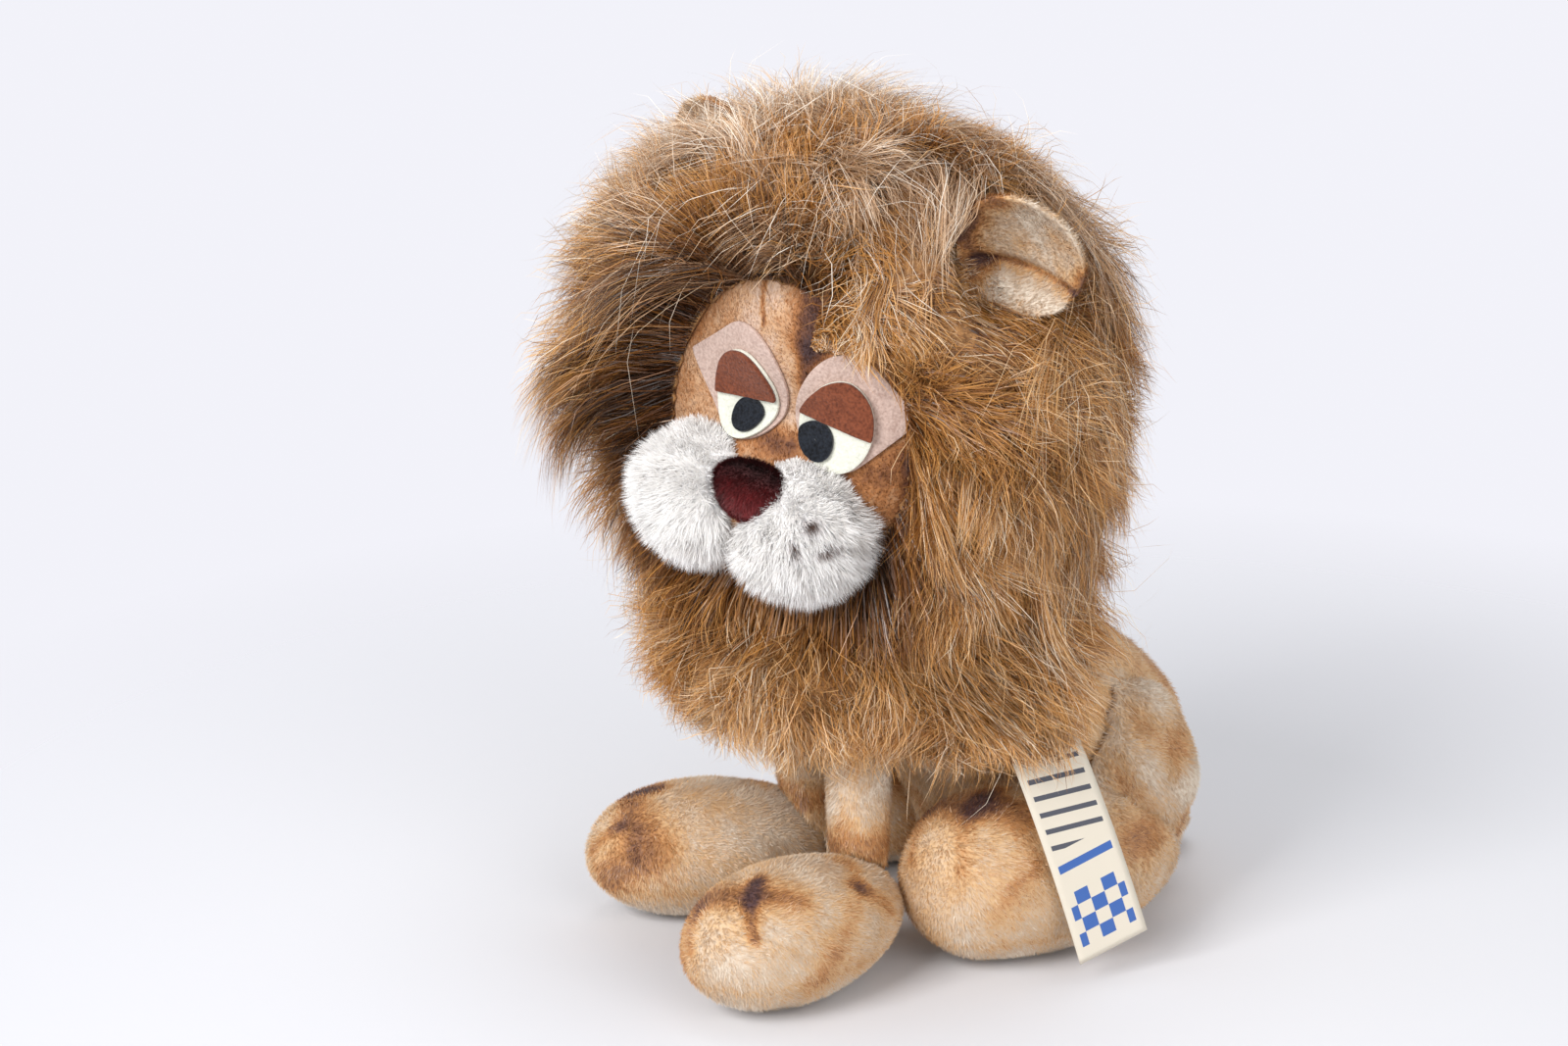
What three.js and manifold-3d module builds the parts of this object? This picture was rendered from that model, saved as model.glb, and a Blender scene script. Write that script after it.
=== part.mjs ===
// A seated plush lion with a long-pile mane, felt eyes and a ribbon tag, in millimetres.
// +Z is up and the lion's body faces -Y, so its left side is +X.
// The origin is the middle of the flat seat that the stuffed body rests on.

import * as THREE from "three";
import { mergeVertices } from "three/addons/utils/BufferGeometryUtils.js";
import Module from "manifold-3d";

const wasm = await Module();
wasm.setup();

// Clearances between pieces that are sewn, glued or laid against each other
const seamGap = 0.3;
const socketGap = 0.4;
const floorFlat = 0.5;
const coarseGap = 1.1;

// Neck: the vertical axis that the head turns about, and the level of the neck seam
const neckY = -82;
const neckSeamZ = 118;
const neckRadius = 31;

// Body: the seat, the rump and the chest
const seatLength = 52;
const seatWidth = 50;
const rumpLength = 98;
const rumpWidth = 96;
const rumpHeight = 94;
const chestWidth = 74;
const chestDepth = 76;

// Head: skull under the fur, its turn and tilt, and the swells of the face
const headZ = 186;
const skullHalfWidth = 60;
const skullHalfDepth = 58;
const skullHalfHeight = 64;
const headTurn = THREE.MathUtils.degToRad(26);
const headTilt = THREE.MathUtils.degToRad(10);
const faceDish = 0.4;
const browSwell = 0.18;
const muzzleSwell = 0.27;

// Mane and chest ruff: one long-pile outline about the neck axis, parted at the neck seam
const maneRadius = 88;
const maneCrown = 90;
const maneSkirt = 122;
const maneWidestZ = 192;
const maneSquareness = 2.4;
const lockSwell = 0.035;
const lockCount = 7;
const ruffHemZ = 76;

// Face opening of the mane
const faceHalfWidth = 49.5;
const faceTop = 42;
const faceBottom = -60;
const faceDepth = 38;

// Felt of the eyes, laid in layers; places are across (outwards) and up from the middle of an eye
const feltThickness = 1.2;
const eyeSpacing = 33;
const eyeShift = 8;
const eyeRise = 4;
const eyeDepth = 41.5;
const whiteHalfWidth = 11.8;
const whiteHalfHeight = 15.5;
const patchHalfWidth = 14.2;
const patchHalfHeight = 18.4;
const patchRise = 3.6;
const patchCornerReach = 20.5;
const patchCornerRise = 5;
const lidInnerEdge = 2.3;
const lidOuterEdge = -2.2;
const pupilHalfWidth = 5.8;
const pupilHalfHeight = 7;
const pupilInward = 3.4;
const pupilDrop = 6;
const gaze = 1.6;

// Nose and cheeks, on the muzzle
const muzzleDepth = 53;
const noseHalfWidth = 14.2;
const noseHalfHeight = 10.5;
const noseHalfDepth = 8;
const noseShift = 4;
const noseDrop = 21;
const noseProud = 2;
const cheekHalfWidth = 21;
const cheekHalfHeight = 21;
const cheekHalfDepth = 19;
const cheekSpacing = 42;
const cheekDrop = 35;
const cheekSunk = 4;

// Ears
const earRadius = 23;
const earHeight = 42;
const earThickness = 3;
const earCup = 9;
const earSide = 50;
const earForward = 6;
const earRise = 55;
const earYaw = 0.6;
const earHollowMargin = 8;

// Forelegs and forepaws
const forelegX = 27;
const forelegY = -87;
const stride = 6;
const shoulderZ = 75;
const shoulderRadius = 12.5;
const ankleRadius = 10;
const ankleZ = 38;
const forepawX = 39;
const forepawY = -117;
const forepawLength = 88;
const forepawWidth = 50;
const forepawHeight = 46;
const toeOut = THREE.MathUtils.degToRad(13);

// Haunches and hind paws
const haunchX = 36;
const haunchY = 2;
const haunchZ = 48;
const haunchHalfWidth = 20;
const haunchHalfLength = 30;
const haunchHalfHeight = 38;
const hindPawX = 45;
const hindPawY = -24;
const hindStride = 7;
const hindPawLength = 104;
const hindPawWidth = 54;
const hindPawHeight = 61;

// Tail and its tuft, curled on the floor behind the rump to the lion's right
const tailRadius = 6.5;
const tailRootZ = 17;
const tailLift = 0.5;
const tailSunk = 4;
const tailCurl = 54;
const tailClear = 4.5;
const tuftLength = 34;
const tuftRadius = 10;

// Ribbon tag, sewn in under the ruff and hanging over the left hind paw
const tagWidth = 25.4;
const tagThickness = 0.6;
const tagTopZ = 94;
const tagRound = THREE.MathUtils.degToRad(15);
const tagEndZ = 13;
const tagStandOff = 7;

const colours = {
  plush: 0xd9ab6a,
  face: 0xc9975f,
  mane: 0xa9743a,
  ruff: 0xb07c40,
  cheek: 0xf4f0ec,
  nose: 0x3a0d12,
  patch: 0xc9a193,
  white: 0xeeeee0,
  lid: 0x6e301c,
  pupil: 0x14161b,
  tag: 0xe9e0cf,
};

const lion = new THREE.Group();
const ends = [
  ["left", 1],
  ["right", -1],
];

function vector(x, y, z) {
  return new THREE.Vector3(x, y, z);
}

// A closed surface over rings of points, each end closed by a fan to its own point.
function loft(startPoint, rings, endPoint) {
  const around = rings[0].length;
  const points = [startPoint, ...rings.flat(), endPoint];
  const last = points.length - 1;
  const faces = [];
  for (let i = 0; i < around; i++) {
    const next = (i + 1) % around;
    faces.push(0, 1 + next, 1 + i);
    faces.push(last, last - around + i, last - around + next);
    for (let k = 0; k + 1 < rings.length; k++) {
      const low = 1 + k * around;
      const high = low + around;
      faces.push(low + i, low + next, high + next);
      faces.push(low + i, high + next, high + i);
    }
  }
  const geometry = new THREE.BufferGeometry();
  geometry.setAttribute("position", new THREE.Float32BufferAttribute(points.flatMap((p) => p.toArray()), 3));
  geometry.setIndex(faces);
  return geometry;
}

function ringOf(count, pointAt) {
  return Array.from({ length: count }, (_, i) => pointAt((2 * Math.PI * i) / count));
}

// The solid inside a closed geometry, placed by a matrix. A shape that mirroring has turned
// inside out gets its faces turned back.
function solid(geometry, place = new THREE.Matrix4()) {
  const bare = new THREE.BufferGeometry();
  bare.setAttribute("position", geometry.getAttribute("position").clone());
  bare.setIndex(geometry.index);
  const merged = mergeVertices(bare.applyMatrix4(place), 1e-4);
  const made = manifoldOf(merged.attributes.position.array, merged.index.array);
  return made.volume() > 0 ? made : manifoldOf(merged.attributes.position.array, merged.index.array.reverse());
}

function manifoldOf(positions, corners) {
  return new wasm.Manifold(
    new wasm.Mesh({ numProp: 3, vertProperties: positions, triVerts: new Uint32Array(corners) }),
  );
}

function cut(body, ...cutters) {
  return cutters.reduce((left, cutter) => left.subtract(cutter), body);
}

function addPiece(name, body, colour, roughness = 0.95) {
  const made = body.getMesh();
  const geometry = new THREE.BufferGeometry();
  geometry.setAttribute("position", new THREE.BufferAttribute(made.vertProperties, made.numProp));
  geometry.setIndex(new THREE.BufferAttribute(made.triVerts, 1));
  geometry.computeVertexNormals();
  const mesh = new THREE.Mesh(geometry, new THREE.MeshStandardMaterial({ color: colour, roughness, metalness: 0 }));
  mesh.name = name;
  lion.add(mesh);
}

// All that lies under a level, to cut a piece flat on the floor or at a seam.
function below(level) {
  const deep = 400;
  return solid(new THREE.BoxGeometry(deep, deep, deep), new THREE.Matrix4().makeTranslation(0, 0, level - deep / 2));
}

// A stuffed egg with its long axis along Y: a blunt front end and a back end that narrows.
function egg({ halfWidth, halfLength, halfHeight, narrow = 0, rings = 9, around = 18, grow = 0 }) {
  const sections = [];
  for (let k = 1; k <= rings; k++) {
    const turn = (Math.PI * k) / (rings + 1);
    const along = -Math.cos(turn);
    const swell = Math.sin(turn) * (1 - narrow * along);
    sections.push(
      ringOf(around, (a) =>
        vector(
          (halfWidth * swell + grow) * Math.cos(a),
          (halfLength + grow) * along,
          (halfHeight * swell + grow) * Math.sin(a),
        ),
      ),
    );
  }
  return loft(vector(0, -halfLength - grow, 0), sections.map((s) => s.reverse()), vector(0, halfLength + grow, 0));
}

function placed(x, y, z, yaw = 0) {
  return new THREE.Matrix4().makeTranslation(x, y, z).multiply(new THREE.Matrix4().makeRotationZ(yaw));
}

// Body: horizontal slices from the seat, over the rump, up to the neck seam.
function torso(grow = 0) {
  const chestFront = neckY - chestDepth / 2;
  const chestBack = neckY + chestDepth / 2 + 4;
  const rumpBack = rumpLength / 2;
  const slices = [
    { z: 0, front: -seatLength / 2, back: seatLength / 2, half: seatWidth / 2 },
    { z: 0.1 * rumpHeight, front: -0.78 * rumpBack, back: 0.88 * rumpBack, half: 0.43 * rumpWidth },
    { z: 0.27 * rumpHeight, front: -0.92 * rumpBack, back: 0.98 * rumpBack, half: 0.48 * rumpWidth },
    { z: 0.5 * rumpHeight, front: -1.1 * rumpBack, back: rumpBack, half: 0.5 * rumpWidth },
    { z: 0.74 * rumpHeight, front: -1.4 * rumpBack, back: 0.88 * rumpBack, half: 0.48 * rumpWidth },
    { z: 0.9 * rumpHeight, front: -1.8 * rumpBack, back: 0.6 * rumpBack, half: 0.44 * rumpWidth },
    { z: rumpHeight + 4, front: chestFront + 6, back: 0.2 * rumpBack, half: 0.53 * chestWidth },
    { z: neckSeamZ - 10, front: chestFront + 2, back: 0.35 * chestBack, half: 0.51 * chestWidth },
    { z: neckSeamZ, front: chestFront, back: chestBack, half: chestWidth / 2 },
  ];
  const around = 28;
  const sections = slices.map(({ z, front, back, half }) =>
    ringOf(around, (a) =>
      vector(
        (half + grow) * Math.cos(a),
        (front + back) / 2 + ((back - front) / 2 + grow) * Math.sin(a),
        z,
      ),
    ),
  );
  return solid(
    loft(vector(0, 0, 0), sections, vector(0, (chestFront + chestBack) / 2, neckSeamZ)),
  );
}

// Head surface: distance from the head's middle in a direction, -Y being the face.
function headRadius(direction) {
  const { x, y, z } = direction;
  const base = 1 / Math.hypot(x / skullHalfWidth, y / skullHalfDepth, z / skullHalfHeight);
  const near = (dx, dy, dz, spread) => {
    const to = vector(dx, dy, dz).normalize();
    const apart = Math.acos(THREE.MathUtils.clamp(direction.dot(to), -1, 1));
    return Math.exp(-((apart / spread) ** 2));
  };
  const face = near(0, -1, 0, 0.62);
  const brow = near(0, -1, 0.62, 0.42);
  const muzzle = near(0, -1, -0.55, 0.42);
  return base * (1 - faceDish * face + browSwell * brow + muzzleSwell * muzzle);
}

const headPlace = placed(0, neckY, headZ, headTurn).multiply(new THREE.Matrix4().makeRotationY(headTilt));

function skull(grow = 0, rings = 17, around = 28) {
  const sections = [];
  for (let k = 1; k <= rings; k++) {
    const rise = (Math.PI * k) / (rings + 1) - Math.PI / 2;
    sections.push(
      ringOf(around, (a) => {
        const direction = vector(Math.cos(a) * Math.cos(rise), Math.sin(a) * Math.cos(rise), Math.sin(rise));
        return direction.clone().multiplyScalar(headRadius(direction) + grow);
      }),
    );
  }
  const pole = headRadius(vector(0, 0, 1)) + grow;
  return solid(loft(vector(0, 0, -pole), sections, vector(0, 0, pole)), headPlace);
}

function neckStub(grow = 0) {
  const height = headZ - neckSeamZ;
  const stub = new THREE.CylinderGeometry(neckRadius + grow, neckRadius + grow, height, 28).rotateX(Math.PI / 2);
  return solid(stub, placed(0, neckY, neckSeamZ + height / 2));
}

// Mane outline about the neck axis: half width at a height, with broad locks round it.
function furRadius(z, around) {
  const reach = z > maneWidestZ ? maneCrown : maneSkirt;
  const part = Math.min(1, Math.abs(z - maneWidestZ) / reach);
  const outline = maneRadius * (1 - part ** maneSquareness) ** (1 / maneSquareness);
  return outline * (1 + lockSwell * Math.sin(lockCount * around + z / 14));
}

function furBody(levels, around, bottom, top) {
  const sections = levels.map((z) =>
    ringOf(around, (a) => vector(furRadius(z, a) * Math.cos(a), neckY + furRadius(z, a) * Math.sin(a), z)),
  );
  return solid(loft(vector(0, neckY, bottom), sections, vector(0, neckY, top)));
}

function mane() {
  const around = 30;
  const crownTop = maneWidestZ + maneCrown;
  const bottom = neckSeamZ + seamGap;
  const skirt = [0, 0.25, 0.5, 0.75].map((t) => THREE.MathUtils.lerp(bottom, maneWidestZ, t));
  const crown = [0, 1, 2, 3, 4, 5, 6].map((k) => maneWidestZ + maneCrown * Math.sin((Math.PI * k) / 14));
  return furBody([...skirt, ...crown], around, bottom, crownTop);
}

function faceOpening() {
  const mid = (faceTop + faceBottom) / 2;
  const tall = (faceTop - faceBottom) / 2;
  const sections = [
    { depth: 15, half: 0.92 * faceHalfWidth, tall: 0.8 * tall, mid },
    { depth: faceDepth, half: faceHalfWidth, tall, mid },
    { depth: 75, half: 1.9 * faceHalfWidth, tall: 1.45 * tall, mid: mid + 8 },
    { depth: 120, half: 2.8 * faceHalfWidth, tall: 2 * tall, mid: mid + 14 },
  ];
  const rings = sections.map((s) =>
    ringOf(26, (a) => vector(s.half * Math.cos(a), -s.depth, s.mid + s.tall * Math.sin(a))),
  );
  return solid(loft(vector(0, -15, mid), rings, vector(0, -120, mid + 14)), headPlace);
}

const skullRoom = skull(seamGap + coarseGap, 13, 22).add(neckStub(seamGap));
const headBody = cut(skull().add(neckStub()), below(neckSeamZ + seamGap));
addPiece("head", headBody, colours.face);

// Ears: a cupped dish on the upper side of the head, hinged on its seam.
function earPlace(side) {
  const middle = vector(side * earSide, -earForward, earRise);
  const out = middle.clone().normalize();
  const front = vector(side * earYaw, -1, 0).projectOnPlane(out).normalize();
  const across = front.clone().cross(out);
  const place = new THREE.Matrix4().makeBasis(across, front.clone().negate(), out);
  place.setPosition(out.clone().multiplyScalar(headRadius(out) + seamGap));
  return headPlace.clone().multiply(place);
}

function ear(side) {
  const around = 22;
  const rimPoint = (a, shrink, lift) => {
    const high = (earHeight / 2) * (1 + shrink * Math.sin(a));
    const pinch = 1 - 0.3 * (1 - high / earHeight) ** 2;
    const dish = earCup * (1 - shrink ** 2) + lift;
    return vector(earRadius * shrink * pinch * Math.cos(a), dish, high);
  };
  const backRings = [1 / 3, 2 / 3, 1].map((s) => ringOf(around, (a) => rimPoint(a, s, earThickness / 2)));
  const frontRings = [1, 2 / 3, 1 / 3].map((s) => ringOf(around, (a) => rimPoint(a, s, -earThickness / 2)));
  const backMiddle = vector(0, earCup + earThickness / 2, earHeight / 2);
  const frontMiddle = vector(0, earCup - earThickness / 2, earHeight / 2);
  return solid(loft(backMiddle, [...backRings, ...frontRings], frontMiddle), earPlace(side));
}

function earHollow(side) {
  const hollow = new THREE.SphereGeometry(earRadius + earHollowMargin, 16, 10);
  const lift = new THREE.Matrix4().makeTranslation(0, earCup / 3, earHeight / 2);
  return solid(hollow, earPlace(side).multiply(lift));
}

addPiece("ear_left", ear(1), colours.plush);
addPiece("ear_right", ear(-1), colours.plush);
addPiece("mane", cut(mane(), skullRoom, faceOpening(), earHollow(1), earHollow(-1)), colours.mane);

// Nose and cheeks: round pieces set on the muzzle
function muzzlePiece(x, z, [halfWidth, halfDepth, halfHeight], proud, grow) {
  const direction = vector(x, -muzzleDepth, z).normalize();
  const middle = direction.clone().multiplyScalar(headRadius(direction) + proud);
  const shape = new THREE.SphereGeometry(1, 14, 10);
  shape.scale(halfWidth + grow, halfDepth + grow, halfHeight + grow);
  return solid(shape, headPlace.clone().multiply(new THREE.Matrix4().setPosition(middle)));
}

function nose(grow = 0) {
  return muzzlePiece(noseShift, -noseDrop, [noseHalfWidth, noseHalfDepth, noseHalfHeight], noseProud, grow);
}

function cheek(side, grow = 0) {
  const across = (side * cheekSpacing) / 2;
  return muzzlePiece(across, -cheekDrop, [cheekHalfWidth, cheekHalfDepth, cheekHalfHeight], -cheekSunk, grow);
}

// Everything on the far side of the face's middle, and half a seam more.
function otherSide(side) {
  const reach = 200;
  const slab = new THREE.BoxGeometry(reach, 2 * reach, 2 * reach);
  const shift = new THREE.Matrix4().makeTranslation((side * (seamGap - reach)) / 2, 0, 0);
  return solid(slab, headPlace.clone().multiply(shift));
}

// The felt's layers: thin shells over the face, one on the other.
function feltLayer(level) {
  const low = seamGap + level * (feltThickness + seamGap);
  return cut(skull(low + feltThickness), skull(low));
}

// An outline in the eye's own plane, run straight through the face.
function throughFace(side, outline) {
  const reach = 24;
  const direction = vector(eyeShift + (side * eyeSpacing) / 2, -eyeDepth, eyeRise).normalize();
  const outward = vector(0, 0, 1).cross(direction).normalize().multiplyScalar(side);
  const upward = direction.clone().cross(outward).multiplyScalar(side);
  const ringAt = (depth) =>
    outline.map(([across, up]) =>
      direction.clone().multiplyScalar(depth).addScaledVector(outward, across).addScaledVector(upward, up),
    );
  const centre = (ring) => ring.reduce((sum, point) => sum.add(point), vector(0, 0, 0)).divideScalar(ring.length);
  const middle = headRadius(direction);
  const [inside, outside] = [ringAt(middle - reach), ringAt(middle + reach)];
  return solid(loft(centre(inside), [inside, outside], centre(outside)), headPlace);
}

function arcPoints(count, [halfWidth, halfHeight], [across, up], start, end) {
  return Array.from({ length: count }, (_, i) => {
    const a = THREE.MathUtils.lerp(start, end, i / (count - 1));
    return [across + halfWidth * Math.cos(a), up + halfHeight * Math.sin(a)];
  });
}

function ovalOutline(half, middle) {
  const count = 18;
  return arcPoints(count, half, middle, 0, (2 * Math.PI * (count - 1)) / count);
}

// A round patch drawn out to a corner at the outer end of the eye.
function patchOutline() {
  const open = THREE.MathUtils.degToRad(50);
  const round = arcPoints(18, [patchHalfWidth, patchHalfHeight], [0, patchRise], open, 2 * Math.PI - open);
  return [[patchCornerReach, patchCornerRise], ...round];
}

// The upper part of the eye's oval, whose straight lower edge hangs over the pupil.
function lidOutline(drop = 0) {
  const level = (edge) => Math.asin((edge - drop) / whiteHalfHeight);
  return arcPoints(16, [whiteHalfWidth, whiteHalfHeight], [0, 0], level(lidOuterEdge), Math.PI - level(lidInnerEdge));
}

function pupilOutline(side) {
  return ovalOutline([pupilHalfWidth, pupilHalfHeight], [-pupilInward - side * gaze, -pupilDrop]);
}

function addFace() {
  const skin = skull(seamGap);
  const layers = [0, 1, 2].map(feltLayer);
  const felt = (side, outline, level) => throughFace(side, outline).intersect(layers[level]);
  const muzzle = [nose(seamGap), cheek(1, seamGap), cheek(-1, seamGap)];
  addPiece("nose", cut(nose(), skin), colours.nose, 0.8);
  for (const [end, side] of ends) {
    const lid = felt(side, lidOutline(), 2);
    const pupil = cut(felt(side, pupilOutline(side), 2), throughFace(side, lidOutline(seamGap)));
    const white = felt(side, ovalOutline([whiteHalfWidth, whiteHalfHeight], [0, 0]), 1);
    addPiece(`cheek_${end}`, cut(cheek(side), skin, nose(seamGap), otherSide(side)), colours.cheek);
    addPiece(`eye_patch_${end}`, cut(felt(side, patchOutline(), 0), ...muzzle), colours.patch);
    addPiece(`eye_white_${end}`, cut(white, ...muzzle), colours.white);
    addPiece(`eyelid_${end}`, lid, colours.lid);
    addPiece(`pupil_${end}`, cut(pupil, ...muzzle), colours.pupil);
  }
}
addFace();

// Chest ruff: the long pile below the neck seam
function ruff() {
  const levels = [0, 0.25, 0.5, 0.75, 1].map((t) => THREE.MathUtils.lerp(ruffHemZ, neckSeamZ, t));
  return furBody(levels, 30, ruffHemZ, neckSeamZ);
}

// Forelegs: a round shoulder in its socket, narrowing to the ankle.
function foreleg(side, grow = 0) {
  const y = forelegY - side * stride;
  const levels = [ankleZ - 20, ankleZ, ankleZ + 12, shoulderZ - 8];
  const radii = [ankleRadius + 1, ankleRadius, ankleRadius + 0.4, shoulderRadius - 1.6];
  const cap = [0, 25, 50, 72].map((angle) => THREE.MathUtils.degToRad(angle));
  const rings = [
    ...levels.map((z, i) => ringOf(16, (a) => vector((radii[i] + grow) * Math.cos(a), (radii[i] + grow) * Math.sin(a), z))),
    ...cap.map((lift) =>
      ringOf(16, (a) =>
        vector(
          (shoulderRadius + grow) * Math.cos(lift) * Math.cos(a),
          (shoulderRadius + grow) * Math.cos(lift) * Math.sin(a),
          shoulderZ + (shoulderRadius + grow) * Math.sin(lift),
        ),
      ),
    ),
  ];
  const geometry = loft(vector(0, 0, levels[0]), rings, vector(0, 0, shoulderZ + shoulderRadius + grow));
  return solid(geometry, placed(side * forelegX, y, 0));
}

function shoulderSocket(side) {
  const ball = new THREE.SphereGeometry(shoulderRadius + socketGap, 18, 12).rotateX(Math.PI / 2);
  return solid(ball, placed(side * forelegX, forelegY - side * stride, shoulderZ));
}

function forepaw(side, grow = 0) {
  const shape = egg({
    halfWidth: forepawWidth / 2,
    halfLength: forepawLength / 2,
    halfHeight: forepawHeight / 2,
    narrow: 0.12,
    rings: 9,
    around: 18,
    grow,
  });
  return solid(shape, placed(side * forepawX, forepawY - side * stride, forepawHeight / 2 - floorFlat, side * toeOut));
}

function haunch(side, grow = 0) {
  const shape = egg({
    halfWidth: haunchHalfWidth,
    halfLength: haunchHalfLength,
    halfHeight: haunchHalfHeight,
    rings: 8,
    around: 18,
    grow,
  });
  return solid(shape, placed(side * haunchX, haunchY, haunchZ));
}

function hindPaw(side, grow = 0) {
  const shape = egg({
    halfWidth: hindPawWidth / 2,
    halfLength: hindPawLength / 2,
    halfHeight: hindPawHeight / 2,
    narrow: 0.1,
    rings: 10,
    around: 20,
    grow,
  });
  return solid(shape, placed(side * hindPawX, hindPawY - side * hindStride, hindPawHeight / 2 - floorFlat));
}

// A closed tube of given radii along a curve that runs mostly level.
function tube(curve, radii, around) {
  const up = vector(0, 0, 1);
  const rings = radii.map((radius, i) => {
    const t = i / (radii.length - 1);
    const middle = curve.getPoint(t);
    const forward = curve.getTangent(t);
    const across = forward.clone().cross(up).normalize();
    const upright = across.clone().cross(forward);
    return ringOf(around, (a) =>
      middle
        .clone()
        .addScaledVector(across, radius * Math.cos(a))
        .addScaledVector(upright, radius * Math.sin(a)),
    );
  });
  return solid(loft(curve.getPoint(0), rings, curve.getPoint(1)));
}

// Tail: from the seam low on the rump, round to the lion's right on the floor.
function tailCurve() {
  const rump = rumpLength / 2;
  const behind = rump + tailRadius + tailClear;
  const level = tailRadius + tailLift;
  return new THREE.CatmullRomCurve3([
    vector(-2, rump - tailSunk, tailRootZ),
    vector(-3, behind - 2, (tailRootZ + level) / 2),
    vector(-0.36 * tailCurl, behind, level),
    vector(-0.7 * tailCurl, behind - 5, level),
    vector(-tailCurl, behind - 16, level + 2),
  ]);
}

function tail(grow = 0) {
  const radii = [0.9, 0.92, 0.96, 1, 0.96, 0.92, 0.88].map((share) => share * tailRadius + grow);
  return tube(tailCurve(), radii, 12).add(tailBall(tailRadius + grow));
}

// The round root of the tail, in a socket at the rump's surface.
function tailBall(radius) {
  const root = tailCurve().getPoint(0);
  return solid(new THREE.SphereGeometry(radius, 14, 10), placed(root.x, root.y, root.z));
}

function tailTuft() {
  const curve = tailCurve();
  const forward = curve.getTangent(1);
  const shape = egg({ halfWidth: tuftRadius, halfLength: tuftLength / 2, halfHeight: tuftRadius, narrow: 0.2, rings: 7, around: 14 });
  const yaw = Math.atan2(-forward.x, forward.y);
  const middle = curve.getPoint(1).addScaledVector(vector(forward.x, forward.y, 0).normalize(), 0.4 * tuftLength);
  return solid(shape, placed(middle.x, middle.y, tuftRadius + tailLift, yaw));
}

// Tag: a ribbon that bends down over the paw's outer side, its width direction the same all along.
// Its front top corner is the one sewn to the ruff, whose flat facets leave it a seam's gap there.
function tag() {
  const reach = furRadius(tagTopZ, tagRound);
  const front = vector(reach * Math.cos(tagRound), neckY + reach * Math.sin(tagRound), tagTopZ);
  const width = vector(0.02, 0.95, 0.28).normalize();
  const top = front.clone().addScaledVector(width, tagWidth / 2);
  const inLine = (point) => point.sub(top).projectOnPlane(width).add(top);
  const pawSide = hindPawX + hindPawWidth / 2 + tagStandOff;
  const pawY = hindPawY - hindStride;
  const bend = inLine(vector(pawSide - 3, pawY - 12, hindPawHeight - 6));
  const end = inLine(vector(pawSide + 1, pawY + 9, tagEndZ));
  const curve = new THREE.QuadraticBezierCurve3(top, bend, end);
  const count = 9;
  const rings = Array.from({ length: count }, (_, i) => {
    const t = i / (count - 1);
    const facing = curve.getTangent(t).cross(width).normalize();
    const corner = (across, through) =>
      curve
        .getPoint(t)
        .addScaledVector(width, (across * tagWidth) / 2)
        .addScaledVector(facing, (through * tagThickness) / 2);
    return [corner(1, 1), corner(-1, 1), corner(-1, -1), corner(1, -1)];
  });
  return solid(loft(top, rings, end));
}

function addBody() {
  const floor = below(0);
  const sockets = [shoulderSocket(1), shoulderSocket(-1)];
  const torsoRoom = torso(seamGap);
  addPiece("torso", cut(torso(), ...sockets, tailBall(tailRadius + socketGap)), colours.plush);
  addPiece("chest_ruff", cut(ruff(), torsoRoom, ...sockets), colours.ruff);
  for (const [end, side] of ends) {
    addPiece(`foreleg_${end}`, cut(foreleg(side), forepaw(side, seamGap), floor), colours.plush);
    addPiece(`forepaw_${end}`, cut(forepaw(side), floor), colours.plush);
    addPiece(`haunch_${end}`, cut(haunch(side), torsoRoom, floor), colours.plush);
    addPiece(`hind_paw_${end}`, cut(hindPaw(side), torsoRoom, haunch(side, seamGap), floor), colours.plush);
  }
  addPiece("tail", tail(), colours.plush);
  addPiece("tail_tuft", cut(tailTuft(), tail(seamGap)), colours.mane);
  addPiece("tag", tag(), colours.tag);
}
addBody();

export default lion;
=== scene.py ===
"""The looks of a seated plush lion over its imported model. Lengths in the sections are in millimetres."""

import bmesh
import bpy
import numpy as np
from mathutils import Matrix, Vector
from mathutils.bvhtree import BVHTree
from mathutils.kdtree import KDTree


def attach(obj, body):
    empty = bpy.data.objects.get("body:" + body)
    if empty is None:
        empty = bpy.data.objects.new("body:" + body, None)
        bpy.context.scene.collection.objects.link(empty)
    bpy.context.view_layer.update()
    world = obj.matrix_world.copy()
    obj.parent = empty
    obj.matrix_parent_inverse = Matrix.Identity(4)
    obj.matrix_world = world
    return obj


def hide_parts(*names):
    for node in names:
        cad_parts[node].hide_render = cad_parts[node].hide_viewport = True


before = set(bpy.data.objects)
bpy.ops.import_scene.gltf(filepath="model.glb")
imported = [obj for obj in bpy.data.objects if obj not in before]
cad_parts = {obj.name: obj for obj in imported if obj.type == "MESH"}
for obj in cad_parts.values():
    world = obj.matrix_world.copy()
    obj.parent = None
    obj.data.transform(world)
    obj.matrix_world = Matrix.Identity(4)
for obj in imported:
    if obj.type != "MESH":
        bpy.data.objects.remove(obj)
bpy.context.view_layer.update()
bpy.ops.object.select_all(action="DESELECT")

# Torso: a stuffed body of crushed-velour plush, closed by a seam down the back and airbrushed
# in browns. Most of it lies under the ruff and between the haunches.
mm = 0.001
plum = (78, 52, 54)
brown = (130, 88, 62)
rust = (192, 136, 82)
gold = (216, 178, 132)
tan = (212, 193, 172)
cream = (242, 232, 217)


def colour(red, green, blue):
    """Linear RGBA of a colour written as sRGB bytes."""
    srgb = np.array([red, green, blue]) / 255
    linear = np.where(srgb < 0.04045, srgb / 12.92, ((srgb + 0.055) / 1.055) ** 2.4)
    return (*linear.tolist(), 1.0)


def stops_of(*stops):
    """Stops for a colour ramp, from (place, sRGB bytes) pairs."""
    return [(place, colour(*tint)) for place, tint in stops]


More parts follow.
